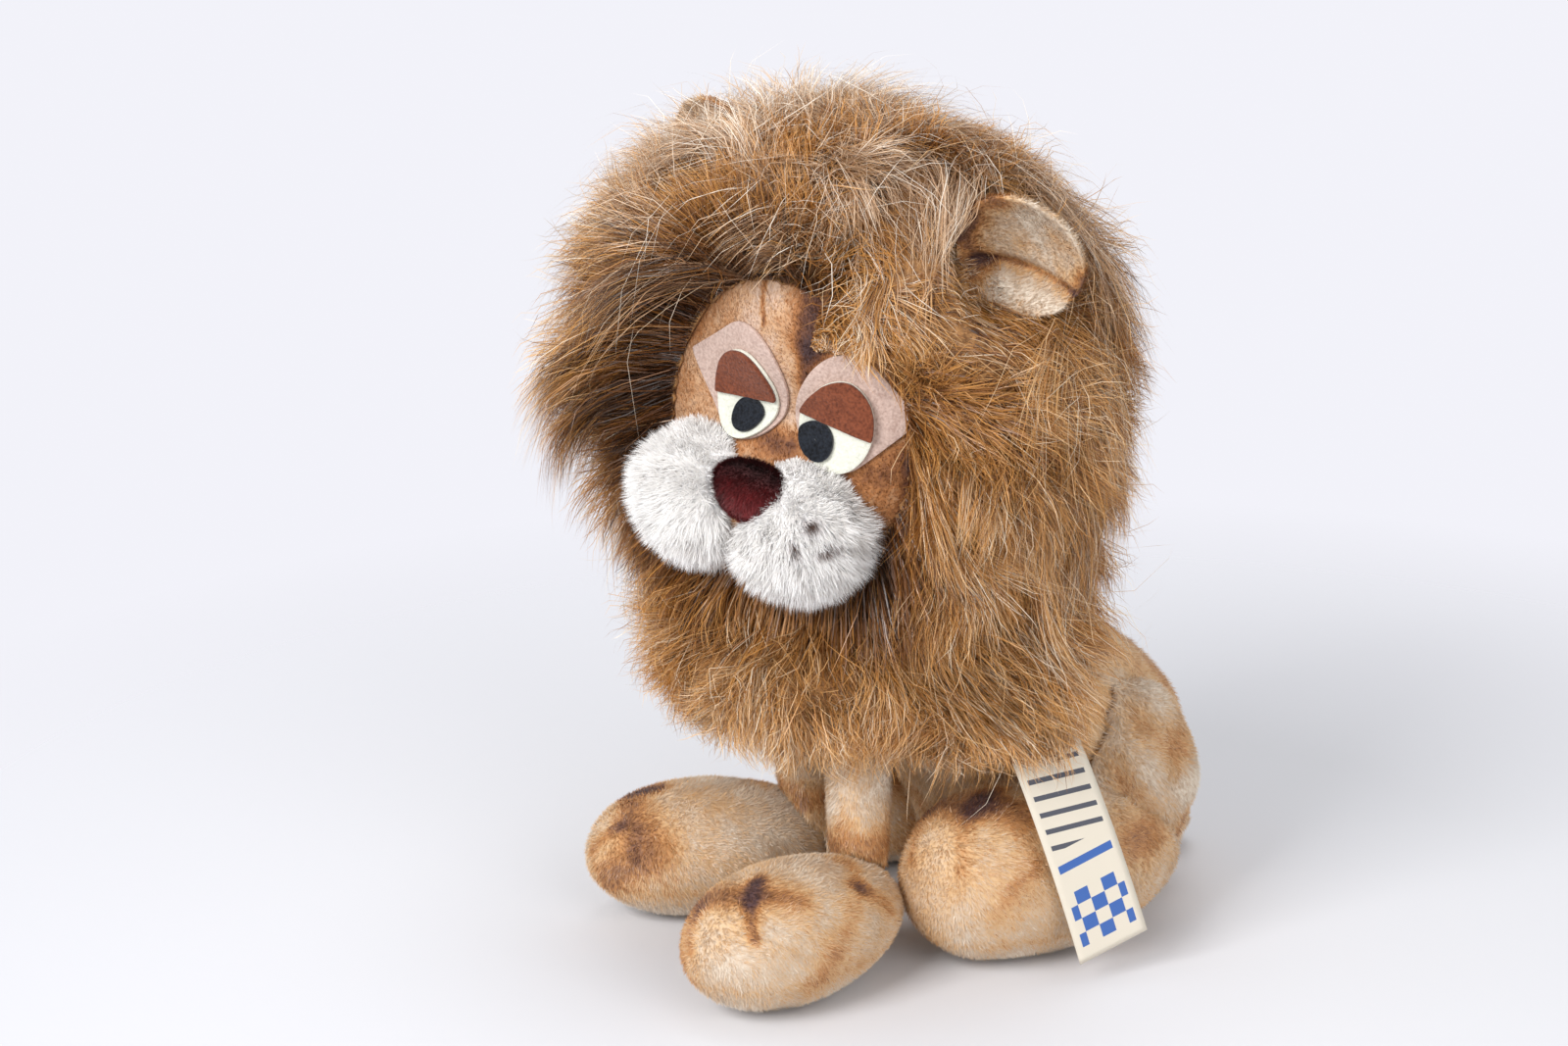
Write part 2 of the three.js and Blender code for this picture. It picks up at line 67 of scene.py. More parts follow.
def new_piece(name, mesh):
    piece = bpy.data.objects.new(name, mesh)
    bpy.context.scene.collection.objects.link(piece)
    return piece


def apply_modifier(piece, kind, **values):
    """Adds one modifier with these values and applies it."""
    bpy.ops.object.select_all(action="DESELECT")
    bpy.context.view_layer.objects.active = piece
    piece.select_set(True)
    modifier = piece.modifiers.new(kind, kind)
    for name, value in values.items():
        setattr(modifier, name, value)
    bpy.ops.object.modifier_apply(modifier=modifier.name)


def read_vectors(values, name):
    """Vectors that a mesh holds, such as its corners, as rows of an array."""
    flat = np.empty(len(values) * 3, np.float32)
    values.foreach_get(name, flat)
    return flat.reshape(-1, 3).astype(float)


def points_of(piece):
    return read_vectors(piece.data.vertices, "co") / mm


def normals_of(piece):
    return read_vectors(piece.data.vertex_normals, "vector")


def move_points(piece, points):
    piece.data.vertices.foreach_set("co", (points * mm).astype(np.float32).ravel())
    piece.data.update()


def unit(vectors):
    return vectors / np.maximum(np.linalg.norm(vectors, axis=-1, keepdims=True), 1e-9)


def soft(distance, width):
    """1 at no distance, falling off smoothly over a width."""
    return np.exp(-((distance / width) ** 2))


def step_up(value, start, end):
    """0 up to a start, then a smooth rise to 1 at an end."""
    t = np.clip((value - start) / (end - start), 0, 1)
    return t * t * (3 - 2 * t)


def clouds(points, size, seed):
    """Smooth noise from about -1 to 1 over points, in blotches of a size."""
    turn = np.random.default_rng(seed)
    total = np.zeros(len(points))
    for _ in range(9):
        wave = unit(turn.normal(size=3)) * turn.uniform(0.6, 1.7) * 2 * np.pi / size
        total += np.sin(points @ wave + turn.uniform(0, 2 * np.pi))
    return total / 4.5


def drift(points, size, seed):
    """Smooth noise with three parts, which bends the way of hairs."""
    return np.stack([clouds(points, size, seed + i) for i in range(3)], axis=1)


def pressed_out(piece, cap, pressure=4.0, last_frame=20):
    """Cloth simulation of the stuffing: it presses the skin out, by no more than a cap."""
    start = points_of(piece)
    cloth = piece.modifiers.new("Cloth", "CLOTH")
    cloth.settings.use_pressure = True
    cloth.settings.uniform_pressure_force = pressure
    cloth.settings.effector_weights.gravity = 0
    for number in range(1, last_frame + 1):
        bpy.context.scene.frame_set(number)
    pressed = piece.evaluated_get(bpy.context.evaluated_depsgraph_get())
    move = points_of(pressed) - start
    piece.modifiers.remove(cloth)
    bpy.context.scene.frame_set(1)
    length = np.linalg.norm(move, axis=1, keepdims=True)
    move_points(piece, start + move * np.minimum(1, cap / np.maximum(length, 1e-6)))


def copied(node):
    """A skin with the form of a CAD node, whose facets share their corners."""
    piece = new_piece(node + "_skin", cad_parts[node].data.copy())
    piece.data.materials.clear()
    form = bmesh.new()
    form.from_mesh(piece.data)
    bmesh.ops.remove_doubles(form, verts=form.verts, dist=1e-6)
    form.to_mesh(piece.data)
    form.free()
    return piece


def stuffed(node, voxel=4.0, swell=1.6):
    """A closed fabric skin over a CAD node: its facets smoothed away, then stuffed tight."""
    piece = copied(node)
    apply_modifier(piece, "REMESH", mode="VOXEL", voxel_size=voxel * mm)
    apply_modifier(piece, "SMOOTH", factor=0.5, iterations=6)
    if swell:
        pressed_out(piece, swell)
    elif swell:
        move_points(piece, points_of(piece) + swell * normals_of(piece))
    apply_modifier(piece, "SUBSURF", levels=1, render_levels=1)
    apply_modifier(piece, "SMOOTH", factor=0.5, iterations=4)
    return piece


def on_floor(piece):
    """Nothing of a piece goes under the floor."""
    points = points_of(piece)
    points[:, 2] = np.maximum(points[:, 2], 0.3)
    move_points(piece, points)
    piece.data.shade_smooth()


def paint(piece, shade):
    """Keeps the airbrushed shade, 0 plum to 1 cream, in each vertex."""
    attribute = piece.data.attributes.new("shade", "FLOAT", "POINT")
    attribute.data.foreach_set("value", np.clip(shade, 0, 1).astype(np.float32))


def read_paint(piece):
    values = np.empty(len(piece.data.vertices), np.float32)
    piece.data.attributes["shade"].data.foreach_get("value", values)
    return values.astype(float)


def set_values(node, **values):
    """Sets a node's inputs. An underscore in a name stands for a space."""
    for name, value in values.items():
        node.inputs[name.replace("_", " ")].default_value = value


def add_node(tree, kind, **values):
    node = tree.nodes.new("ShaderNode" + kind)
    set_values(node, **values)
    return node


def new_material(name):
    """A material, its node tree and its shader."""
    material = bpy.data.materials.new(name)
    material.use_nodes = True
    tree = material.node_tree
    return material, tree, tree.nodes["Principled BSDF"]


def add_ramp(tree, stops):
    """A colour ramp over (place, colour) stops, the lowest place first."""
    node = add_node(tree, "ValToRGB")
    elements = node.color_ramp.elements
    elements[0].position, elements[0].color = stops[0]
    elements[1].position, elements[1].color = stops[-1]
    for place, tint in stops[1:-1]:
        elements.new(place).color = tint
    return node


def add_noise(tree, size, detail=2.0):
    """Noise in the piece's own metres, in blotches of a size in millimetres."""
    place = add_node(tree, "TexCoord")
    noise = add_node(tree, "TexNoise", Scale=1 / (size * mm), Detail=detail)
    tree.links.new(place.outputs["Object"], noise.inputs["Vector"])
    return noise.outputs["Fac"]


def add_math(tree, operation, *values):
    """One sum, such as ADD, over numbers and the outputs of other nodes."""
    node = add_node(tree, "Math")
    node.operation = operation
    for socket, value in zip(node.inputs, values):
        if isinstance(value, (int, float)):
            socket.default_value = value
        else:
            tree.links.new(value, socket)
    return node.outputs[0]


def read_shade(tree):
    """The airbrushed shade of a piece, as a material reads it."""
    node = add_node(tree, "Attribute")
    node.attribute_name = "shade"
    return node.outputs["Fac"]


def read_uv(tree, name):
    """A piece's own UV map: the map itself, and its two parts."""
    own = add_node(tree, "UVMap")
    own.uv_map = name
    split = add_node(tree, "SeparateXYZ")
    tree.links.new(own.outputs["UV"], split.inputs["Vector"])
    return own.outputs["UV"], split.outputs["X"], split.outputs["Y"]


def dye(tree, shader, stops, place):
    """Colours a material by a ramp, read at a place from 0 to 1."""
    tint = add_ramp(tree, stops)
    tree.links.new(place, tint.inputs["Fac"])
    tree.links.new(tint.outputs["Color"], shader.inputs["Base Color"])


def add_bump(tree, shader, height, depth, strength=0.6):
    bump = add_node(tree, "Bump", Strength=strength, Distance=depth * mm)
    tree.links.new(height, bump.inputs["Height"])
    tree.links.new(bump.outputs["Normal"], shader.inputs["Normal"])


velour_stops = stops_of((0.0, plum), (0.22, brown), (0.42, rust), (0.6, gold), (0.8, tan), (1.0, cream))


def velour_skin(name, stops):
    """The woven ground of the velour, which shows between the tufts of its pile."""
    material, tree, shader = new_material(name)
    tufts = add_noise(tree, 1.4, 3.0)
    blotches = add_math(tree, "MULTIPLY_ADD", tufts, 0.3, -0.15)
    dye(tree, shader, stops, add_math(tree, "ADD", read_shade(tree), blotches))
    add_bump(tree, shader, tufts, 0.8)
    set_values(shader, Roughness=0.7, Sheen_Weight=0.35, Sheen_Roughness=0.4, Sheen_Tint=colour(*cream))
    return material


def pile_material(name, stops, root=0.5, roughness=0.45, gloss=0.4):
    """Hair that reads its own UV: u is the hair's shade, and v runs from root to tip."""
    material, tree, shader = new_material(name)
    _, across, along = read_uv(tree, "OFBake")
    # Each hair darkens towards its root: partly the fibres' own darker roots, partly painted shade between
    # the hairs.
    root_shade_tint = (root, root * (0.6 + 0.4 * root), root * (0.3 + 0.7 * root), 1)
    root_shade_stops = [(0.0, root_shade_tint), (0.55, (0.95, 0.92, 0.88, 1)), (1.0, (1, 1, 1, 1))]
    product = add_node(tree, "VectorMath")
    product.operation = "MULTIPLY"
    for socket, place, own_stops in zip(product.inputs, (across, along), (stops, root_shade_stops)):
        tint = add_ramp(tree, own_stops)
        tree.links.new(place, tint.inputs["Fac"])
        tree.links.new(tint.outputs["Color"], socket)
    tree.links.new(product.outputs[0], shader.inputs["Base Color"])
    set_values(shader, Roughness=roughness, Specular_IOR_Level=gloss)
    return material


def hairs(name, paths, widths, facing, shades, material):
    """Flat tapered hairs as one mesh. paths holds each hair's points, the root first."""
    count, steps = paths.shape[:2]
    last = steps - 1
    ahead = unit(np.gradient(paths, axis=1))
    across = unit(np.cross(ahead, facing[:, None, :]))[:, :last]
    taper = 1 - 0.75 * (np.arange(last) / last) ** 2
    half = across * (0.5 * widths[:, None] * taper)[:, :, None]
    pairs = np.stack([paths[:, :last] - half, paths[:, :last] + half], axis=2)
    points = np.concatenate([pairs.reshape(count, 2 * last, 3), paths[:, last:]], axis=1)
    per_hair = 2 * last + 1
    corners = [[2 * k, 2 * k + 1, 2 * k + 3, 2 * k + 2] for k in range(last - 1)]
    corners = sum(corners, []) + [2 * last - 2, 2 * last - 1, 2 * last]
    hair = np.arange(count)[:, None]
    all_corners = (np.array(corners)[None] + per_hair * hair).ravel()
    all_starts = (np.arange(0, len(corners), 4)[None] + len(corners) * hair).ravel()
    mesh = bpy.data.meshes.new(name)
    mesh.vertices.add(count * per_hair)
    mesh.vertices.foreach_set("co", (points * mm).astype(np.float32).ravel())
    mesh.loops.add(len(all_corners))
    mesh.loops.foreach_set("vertex_index", all_corners.astype(np.int32))
    mesh.polygons.add(len(all_starts))
    mesh.polygons.foreach_set("loop_start", all_starts.astype(np.int32))
    mesh.update(calc_edges=True)
    along = np.append(np.repeat(np.arange(last) / last, 2), 1.0)
    uv = np.empty((count, per_hair, 2), np.float32)
    uv[:, :, 0] = np.clip(shades, 0.01, 0.99)[:, None]
    uv[:, :, 1] = along[None] * 0.98 + 0.01
    layer = mesh.uv_layers.new(name="OFBake")
    layer.data.foreach_set("uv", uv.reshape(-1, 2)[all_corners].ravel())
    mesh.shade_smooth()
    mesh.materials.append(material)
    return new_piece(name, mesh)


def scatter(piece, count, seed, values=None, keep=None):
    """Seeded places spread evenly over a piece: points, normals and a value at each."""
    rng = np.random.default_rng(seed)
    mesh = piece.data
    mesh.calc_loop_triangles()
    corners = np.empty(len(mesh.loop_triangles) * 3, np.int32)
    mesh.loop_triangles.foreach_get("vertices", corners)
    corners = corners.reshape(-1, 3)
    points = points_of(piece)
    normals = normals_of(piece)
    a, b, c = (points[corners[:, i]] for i in range(3))
    area = np.linalg.norm(np.cross(b - a, c - a), axis=1)
    if keep is not None:
        area = area * keep((a + b + c) / 3, unit(np.cross(b - a, c - a)))
    chosen = rng.choice(len(corners), count, p=area / area.sum())
    share = rng.dirichlet((1, 1, 1), count)
    picked = corners[chosen]
    places = np.einsum("ij,ijk->ik", share, points[picked])
    outward = unit(np.einsum("ij,ijk->ik", share, normals[picked]))
    if values is None:
        return places, outward, None
    return places, outward, np.einsum("ij,ij->i", share, values[picked])


def nap(name, piece, count, length, combed, lift, seed, material, keep=None, width=0.4):
    """Short pile over a painted piece, all combed one way and standing up by a lift."""
    rng = np.random.default_rng(seed)
    places, outward, shade = scatter(piece, count, seed, read_paint(piece), keep)
    way = np.asarray(combed, float) + 0.5 * drift(places, 22, seed) + 0.25 * rng.normal(size=places.shape)
    flat = unit(way - np.sum(way * outward, axis=1, keepdims=True) * outward)
    stand = lift * rng.uniform(0.5, 1.5, (count, 1))
    ahead = unit(flat + stand * outward)
    lengths = length * rng.uniform(0.6, 1.2, (count, 1))
    paths = np.stack([places - 0.3 * outward, places + ahead * lengths], axis=1)
    paths[:, :, 2] = np.maximum(paths[:, :, 2], 0.15)
    tone = shade + 0.08 * rng.normal(size=count) + 0.06 * clouds(places, 3.5, seed + 7)
    return hairs(name, paths, np.full(count, width), outward, tone, material)


def join(body, slot, *parts):
    """Parts move with a body. The slot argument is not used."""
    for part in parts:
        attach(part, body)


skin_material = velour_skin("velour_skin", velour_stops)
velour_material = pile_material("velour_pile", velour_stops, root=0.85, roughness=0.4, gloss=0.5)
velour = (skin_material, velour_material)


def finish_plush(piece, body, slot, count, length, combed, seed, lift=0.45, keep=None, cloth=velour):
    """Gives a painted skin its material and its pile, and joins both to a body."""
    node = piece.name.removesuffix("_skin")
    piece.data.materials.append(cloth[0])
    pile = nap(node + "_pile", piece, count, length, combed, lift, seed, cloth[1], keep)
    join(body, slot, piece, pile)
    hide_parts(node)


torso = stuffed("torso")
on_floor(torso)
at = points_of(torso)
back_seam = (0.3 * soft(at[:, 0], 3) + 0.2 * soft(at[:, 0], 16)) * step_up(at[:, 1], 0, 20)
underside = 1 - step_up(at[:, 2], 0, 16)
shade = 0.6 + 0.14 * clouds(at, 34, 11) + 0.07 * clouds(at, 10, 12)
paint(torso, shade - back_seam + 0.25 * underside)
finish_plush(torso, "torso", "short_plush", count=40000, length=2.8, combed=(0, 0.3, -1), seed=100)

# Haunches: two stuffed thighs of the same velour, lumpy over their filling, with a painted highlight
# on the lumps where the pile catches light and painted shade in the crease above the hind paws.
sides = ((1, "left"), (-1, "right"))
crease_y, crease_z = 22, 26
crease_width = 11
thigh_outside = (40, 48)
for side, end in sides:
    haunch = stuffed(f"haunch_{end}")
    at = points_of(haunch)
    lumps = clouds(at, 26, 20 + side)
    move_points(haunch, at + 1.2 * lumps[:, None] * normals_of(haunch))
    on_floor(haunch)
    # Painted shade in the crease between thigh and hind paw, on the outer side of the thigh.
    crease_shade = soft(np.hypot(at[:, 1] - crease_y, at[:, 2] - crease_z), crease_width)
    crease_shade *= step_up(side * at[:, 0], *thigh_outside)
    # Clouds of tone, paler on the lumps as a painted highlight, then darker in the crease as painted
    # shade.
    shade = 0.68 + 0.08 * clouds(at, 30, 22) + 0.03 * clouds(at, 9, 23) + 0.22 * lumps
    shade -= 0.5 * crease_shade
    paint(haunch, shade)
    thigh_pile = dict(count=20000, length=2.6, combed=(0, 0.5, -1))
    finish_plush(haunch, "torso", "short_plush", **thigh_pile, seed=110 + side)


# Hind paws: long stuffed feet flat on the floor, with toe lines airbrushed over the front, a
# brown band behind them, a wavy seam low round the side and a cream sole.
def near_line(points, start, end):
    """Distance of points to a line between two places."""
    start, end = np.array(start, float), np.array(end, float)
    along = end - start
    t = np.clip((points - start) @ along / (along @ along), 0, 1)
    return np.linalg.norm(points - start - t[:, None] * along, axis=1)


def stroked(shade, places, strokes):
    """Airbrushes straight strokes: two ends, a width and a depth each. Below 0 it is paler."""
    for start, end, width, depth in strokes:
        shade = shade - depth * soft(near_line(places, start, end), width)
    return shade


def in_paw(points, middle, yaw, side):
    """Places on a paw in its own frame: outwards, ahead and up from its middle."""
    away = points - np.array(middle)
    ahead = away @ np.array([np.sin(yaw), -np.cos(yaw), 0])
    across = away @ np.array([np.cos(yaw), np.sin(yaw), 0])
    return np.stack([side * across, ahead, away[:, 2]], axis=1)


def brushed(shade, places, half_sizes, strokes):
    """Airbrushes strokes over the round of a paw: each has two ends, a width and a depth."""
    for start, end, width, depth in strokes:
        t = np.linspace(0, 1, 12)[:, None]
        spots = np.array(start) * (1 - t) + np.array(end) * t
        spots /= np.linalg.norm(spots / half_sizes, axis=1, keepdims=True)
        distance = np.min(np.linalg.norm(places[:, None] - spots[None], axis=2), axis=1)
        shade = shade - depth * soft(distance, width)
    return shade


toe_fullness = 2.8
hind_half_sizes = (27, 52, 30.5)
paw_pile = dict(length=2.3, combed=(0, 0.6, -0.6))
hind_strokes = [
    ((2, 26, 29), (6, 34, 23), 4.0, 0.4),
    ((3, 30, 26), (13, 40, 8), 2.4, 0.5),
    ((-9, 43, 20), (-2, 50, 8), 2.6, 0.45),
    ((-12, 40, 20), (17, 20, 24), 8.0, 0.4),
    ((-20, 36, 14), (-12, 48, -2), 8.0, 0.4),
    ((20, 34, -4), (24, 22, 10), 4.0, 0.24),
    ((24, -16, 8), (20, -38, 14), 8.0, 0.25),
]
for side, end in sides:
    paw = stuffed(f"hind_paw_{end}")
    at = points_of(paw)
    paw_middle = (45 * side, -24 - 7 * side, 30.5)
    toes = step_up(in_paw(at, paw_middle, 0, side)[:, 1], 15, 40)
    move_points(paw, at + toe_fullness * toes[:, None] * normals_of(paw))
    on_floor(paw)
    at = points_of(paw)
    places = in_paw(at, paw_middle, 0, side)
    shade = 0.67 + 0.1 * clouds(places, 30, 30) + 0.05 * clouds(places, 9, 31)
    shade += 0.18 * (1 - step_up(at[:, 2], 3, 13))
    shade -= 0.16 * soft(at[:, 2] - 12 - 1.2 * clouds(places, 9, 32), 0.8)
    paint(paw, brushed(shade, places, hind_half_sizes, hind_strokes))
    finish_plush(paw, "torso", "short_plush", **paw_pile, count=36000, seed=120 + side)

# Forelegs: thin stuffed legs that hang from the chest under the ruff, brown at the ankle.
for side, end in sides:
    leg = stuffed(f"foreleg_{end}", voxel=2.6, swell=0.8)
    at = points_of(leg)
    shade = 0.74 + 0.1 * clouds(at, 20, 41) + 0.06 * clouds(at, 7, 42)
    shade -= 0.36 * soft(at[:, 2] - 42 - 3 * clouds(at, 16, 43), 8)
    paint(leg, shade)
    leg.data.shade_smooth()
    leg_pile = dict(count=11000, length=2.2, combed=(0, 0, -1))
    finish_plush(leg, f"foreleg_{end}", "short_plush", **leg_pile, seed=130 + side)

# Forepaws: stuffed feet turned a little out, with toe lines, a brown band and a seam round
# the side; they move with the forelegs.
fore_half_sizes = (25, 44, 23)
fore_turned_out = np.radians(13)
fore_strokes = [
    ((1, 18, 21), (6, 25, 17), 3.0, 0.25),
    ((1, 18, 21), (14, 31, 9), 2.2, 0.5),
    ((-9, 37, 14), (-3, 43, 3), 2.6, 0.42),
    ((-13, 32, 14), (16, 14, 19), 6.0, 0.36),
    ((-20, 26, 8), (-11, 40, -4), 8.0, 0.4),
    ((25, 13, -6), (22, -6, 12), 6.0, 0.3),
    ((17, -12, 17), (21, -26, 6), 3.4, 0.5),
    ((0, -20, 22), (17, -14, 17), 4.0, 0.4),
]
for side, end in sides:
    paw = stuffed(f"forepaw_{end}")
    on_floor(paw)
    at = points_of(paw)
    places = in_paw(at, (39 * side, -117 - 6 * side, 23), side * fore_turned_out, side)
    shade = 0.72 + 0.1 * clouds(places, 30, 50) + 0.05 * clouds(places, 9, 51)
    # A painted highlight across the top of the paw.
    top_highlight = soft(near_line(places, (6, 6, 22), (2, -4, 22)), 8)
    shade += 0.16 * (1 - step_up(at[:, 2], 4, 12)) + 0.1 * top_highlight
    shade -= 0.14 * soft(at[:, 2] - 15 - 1.0 * clouds(places, 9, 52), 0.8)
    paint(paw, brushed(shade, places, fore_half_sizes, fore_strokes))
    finish_plush(paw, f"foreleg_{end}", "short_plush", **paw_pile, count=32000, seed=140 + side)

# Tail: a thin stuffed tube of velour sewn low on the rump, curled round on the floor.
tail = stuffed("tail", voxel=2.0, swell=0.6)
on_floor(tail)
at = points_of(tail)
paint(tail, 0.72 + 0.12 * clouds(at, 18, 61) + 0.05 * clouds(at, 6, 62))
finish_plush(tail, "tail", "short_plush", count=8000, length=2.6, combed=(-1, 0, 0), seed=160)

# Chest ruff: long pile on a backing sewn round the chest below the neck seam. Its hair hangs
# down over the tops of the forelegs, and keeps to one outline with the mane above it.
neck_y = -82.0
down = np.array([0.0, 0.0, -1.0])
level = np.array([1, 1, 0])
fur_stops = stops_of(
    (0.0, (58, 36, 22)),
    (0.25, (140, 90, 44)),
    (0.5, (212, 152, 80)),
    (0.72, (232, 188, 132)),
    (1.0, (253, 240, 218)),
)
fur_material = pile_material("mane_fur", fur_stops, root=0.45, roughness=0.35, gloss=0.6)


def fur_backing():
    """The knitted ground under long pile, covered by the streaks of its undercoat."""
    material, tree, shader = new_material("mane_backing")
    streaks = add_noise(tree, 2.0, 5.0)
    dye(tree, shader, stops_of((0.3, (104, 70, 42)), (0.7, (178, 130, 80))), streaks)
    add_bump(tree, shader, streaks, 1.5)
    set_values(shader, Roughness=0.9)
    return material


backing_material = fur_backing()
mane_middle = np.array([0.0, neck_y, 192.0])
mane_radius = 88.0
mane_crown = 90.0
mane_skirt = 122.0
tag_cover = 81.0
tag_reach = 73.0
tag_bearing = 24.0
stitch_bearing = 34.0
stitch_spread = 24.0
squareness = 2.4


def mane_reach(ways):
    """Distance from the mane's middle to its outline, along unit directions."""
    tall = np.where(ways[..., 2] > 0, mane_crown, mane_skirt)
    wide = np.hypot(ways[..., 0], ways[..., 1]) / mane_radius
    return (wide**squareness + np.abs(ways[..., 2] / tall) ** squareness) ** (-1 / squareness)


def filled_out(paths, tips, hold=0.8):
    """Hair rises from its root to its tip's share of the mane's outline, and lies along it."""
    away = paths - mane_middle
    reach = np.linalg.norm(away, axis=2, keepdims=True)
    outline = mane_reach(away / reach)[:, :, None]
    rise = np.sin(np.linspace(0, np.pi / 2, paths.shape[1]))[None, :, None] ** 0.9
    root = (reach / outline)[:, :1]
    wanted = outline * (root + (tips[:, None, None] - root) * rise)
    return mane_middle + away / reach * (reach + hold * (wanted - reach))


def combed_out(roots, starts, lengths, steps, droop, wander, size, seed):
    """Hair paths: each sets out along its start, sags, and wanders with its neighbours."""
    heading = unit(starts)
    paths = [roots]
    for k in range(1, steps):
        here = paths[-1]
        heading = unit(heading + wander * drift(here, size, seed) + droop * down)
        paths.append(here + heading * (lengths / (steps - 1))[:, None])
    return np.stack(paths, axis=1)


def locks_over(roots, count, seed):
    """Shares hairs out among locks: the middle hair of each lock, and the lock of each hair."""
    middles = np.random.default_rng(seed).choice(len(roots), count, replace=False)
    tree = KDTree(count)
    for i, root in enumerate(roots[middles]):
        tree.insert(root, i)
    tree.balance()
    return middles, np.array([tree.find(root)[1] for root in roots])


def gathered(paths, middles, nearest, pull, power, seed):
    """Draws hairs into locks: each leans towards the hair in the middle of its own lock."""
    share = np.random.default_rng(seed).uniform(0.3, 1.0, len(paths))
    lean = pull * np.linspace(0, 1, paths.shape[1]) ** power
    return paths + (paths[middles][nearest] - paths) * (share[:, None] * lean)[:, :, None]


def shortened(paths, share):
    """Draws hairs back towards their roots, to a share of their lengths."""
    return paths[:, :1] + (paths - paths[:, :1]) * share[:, None, None]


def from_neck(points):
    """Level directions of points from the axis of the neck."""
    return unit((points - np.array([0, neck_y, 0])) * level)


def bearing(ways):
    """Degrees round the neck, from the lion's left towards its back."""
    return np.degrees(np.arctan2(ways[:, 1], ways[:, 0]))


def hung_over_tag(paths, seed):
    """Hair round the top of the tag: it ends below the stitches and passes over the ribbon."""
    rng = np.random.default_rng(seed)
    count = len(paths)
    tip, root_height = paths[:, -1], paths[:, 0, 2]
    near = soft(bearing(from_neck(tip)) - tag_bearing, 20)
    end_height = tag_cover + 5 * rng.normal(size=count) + 7 * clouds(tip, 16, seed + 1)
    share = np.clip((root_height - end_height) / np.maximum(root_height - tip[:, 2], 1), 0.2, 1)
    paths = shortened(paths, 1 - near * (1 - share))
    away = paths[:, :, :2] - np.array([0, neck_y])
    reach = np.linalg.norm(away, axis=2)
    height = paths[:, :, 2]
    wanted = tag_reach + 0.35 * (98 - height) + 4 * rng.random((count, 1))
    lift = near[:, None] * np.maximum(wanted - reach, 0) * (1 - step_up(height, 104, 124))
    lift[:, 0] = 0
    paths[:, :, :2] += away / reach[:, :, None] * lift[:, :, None]
    return paths


def twisted(facing, seed):
    """Turns each flat hair a little about its own way, so that neighbours catch light unevenly."""
    return unit(facing + 0.35 * np.random.default_rng(seed).normal(size=facing.shape))


def lock_tones(nearest, spread, seed):
    """One tone for each lock, given to its hairs."""
    tones = np.random.default_rng(seed).normal(size=nearest.max() + 1)
    return spread * tones[nearest]


ruff = stuffed("chest_ruff", voxel=3.0, swell=0)
at = points_of(ruff)
reach = np.hypot(at[:, 0], at[:, 1] - neck_y)
inner_reach = 40.0
squeeze = np.where(reach > inner_reach, (inner_reach + 0.68 * (reach - inner_reach)) / reach, 1)
squeeze *= 1 - 0.42 * step_up(at[:, 2], 94, 119) * step_up(reach, 20, 60)
at[:, 0] *= squeeze
at[:, 1] = neck_y + (at[:, 1] - neck_y) * squeeze
move_points(ruff, at)
ruff.data.materials.append(backing_material)
ruff.data.shade_smooth()


def ruff_outside(middles, facing):
    """The faces of the ruff that grow hair: its outer side and its top."""
    beside = (np.sum(from_neck(middles) * facing, axis=1) > 0.15) * (middles[:, 2] > 78)
    above = (facing[:, 2] > 0.6) * (np.hypot(middles[:, 0], middles[:, 1] - neck_y) > 26)
    return np.maximum(beside, 1.0 * above)


ruff_count = 38000
rng = np.random.default_rng(200)
roots, outward, _ = scatter(ruff, ruff_count, 200, keep=ruff_outside)
radial = from_neck(roots)
ruff_locks = 700
middles, lock = locks_over(roots, ruff_locks, 205)
top = step_up(roots[:, 2], 100, 116)
start = 0.2 * outward + (0.3 + 0.5 * top)[:, None] * radial + down + 0.25 * rng.normal(size=roots.shape)
start += 0.3 * rng.normal(size=(ruff_locks, 3))[lock]
lengths = rng.uniform(0.5, 1.15, ruff_count) * (50 + 14 * top)
lengths *= 1 - 0.35 * (1 - step_up(roots[:, 2], 78, 100)) * rng.uniform(0.3, 1.2, ruff_count)
over_tag = soft(bearing(radial) - stitch_bearing, stitch_spread) * step_up(roots[:, 2], 84, 98)
lengths *= (1 - 0.18 * soft(bearing(radial) + 2, 14)) * (1 + 0.15 * over_tag)
lengths *= np.clip(1 + lock_tones(lock, 0.18, 218), 0.5, 1.45)
start += 0.8 * over_tag[:, None] * radial
free = combed_out(roots, start, lengths, steps=5, droop=0.2, wander=0.42, size=30, seed=201)
paths = gathered(free, middles, lock, pull=0.5, power=1.2, seed=204)
tips = 0.98 + lock_tones(lock, 0.03, 207) + 0.04 * rng.normal(size=ruff_count)
tips = np.minimum(tips, 1.08) + 0.3 * over_tag
paths = hung_over_tag(filled_out(paths, tips, 0.85), 217)
tone = 0.58 + lock_tones(lock, 0.08, 206) + 0.14 * rng.normal(size=ruff_count)
# One hair in ten is much paler: partly pale fibres, partly painted glints.
tone += 0.06 * clouds(roots, 50, 208) + np.where(rng.random(ruff_count) < 0.1, 0.3, 0)
tone += 0.1 * (1 - step_up(roots[:, 2], 88, 112))
widths = rng.uniform(0.18, 0.34, ruff_count)
facing = twisted(unit(paths[:, 2] - mane_middle), 209)
join("torso", "mane_fur", ruff)
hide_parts("chest_ruff")
for part, chosen in (("front", roots[:, 1] < neck_y), ("back", roots[:, 1] >= neck_y)):
    name = f"chest_ruff_fur_{part}"
    fur = hairs(name, paths[chosen], widths[chosen], facing[chosen], tone[chosen], fur_material)
    join("torso", "mane_fur", fur)

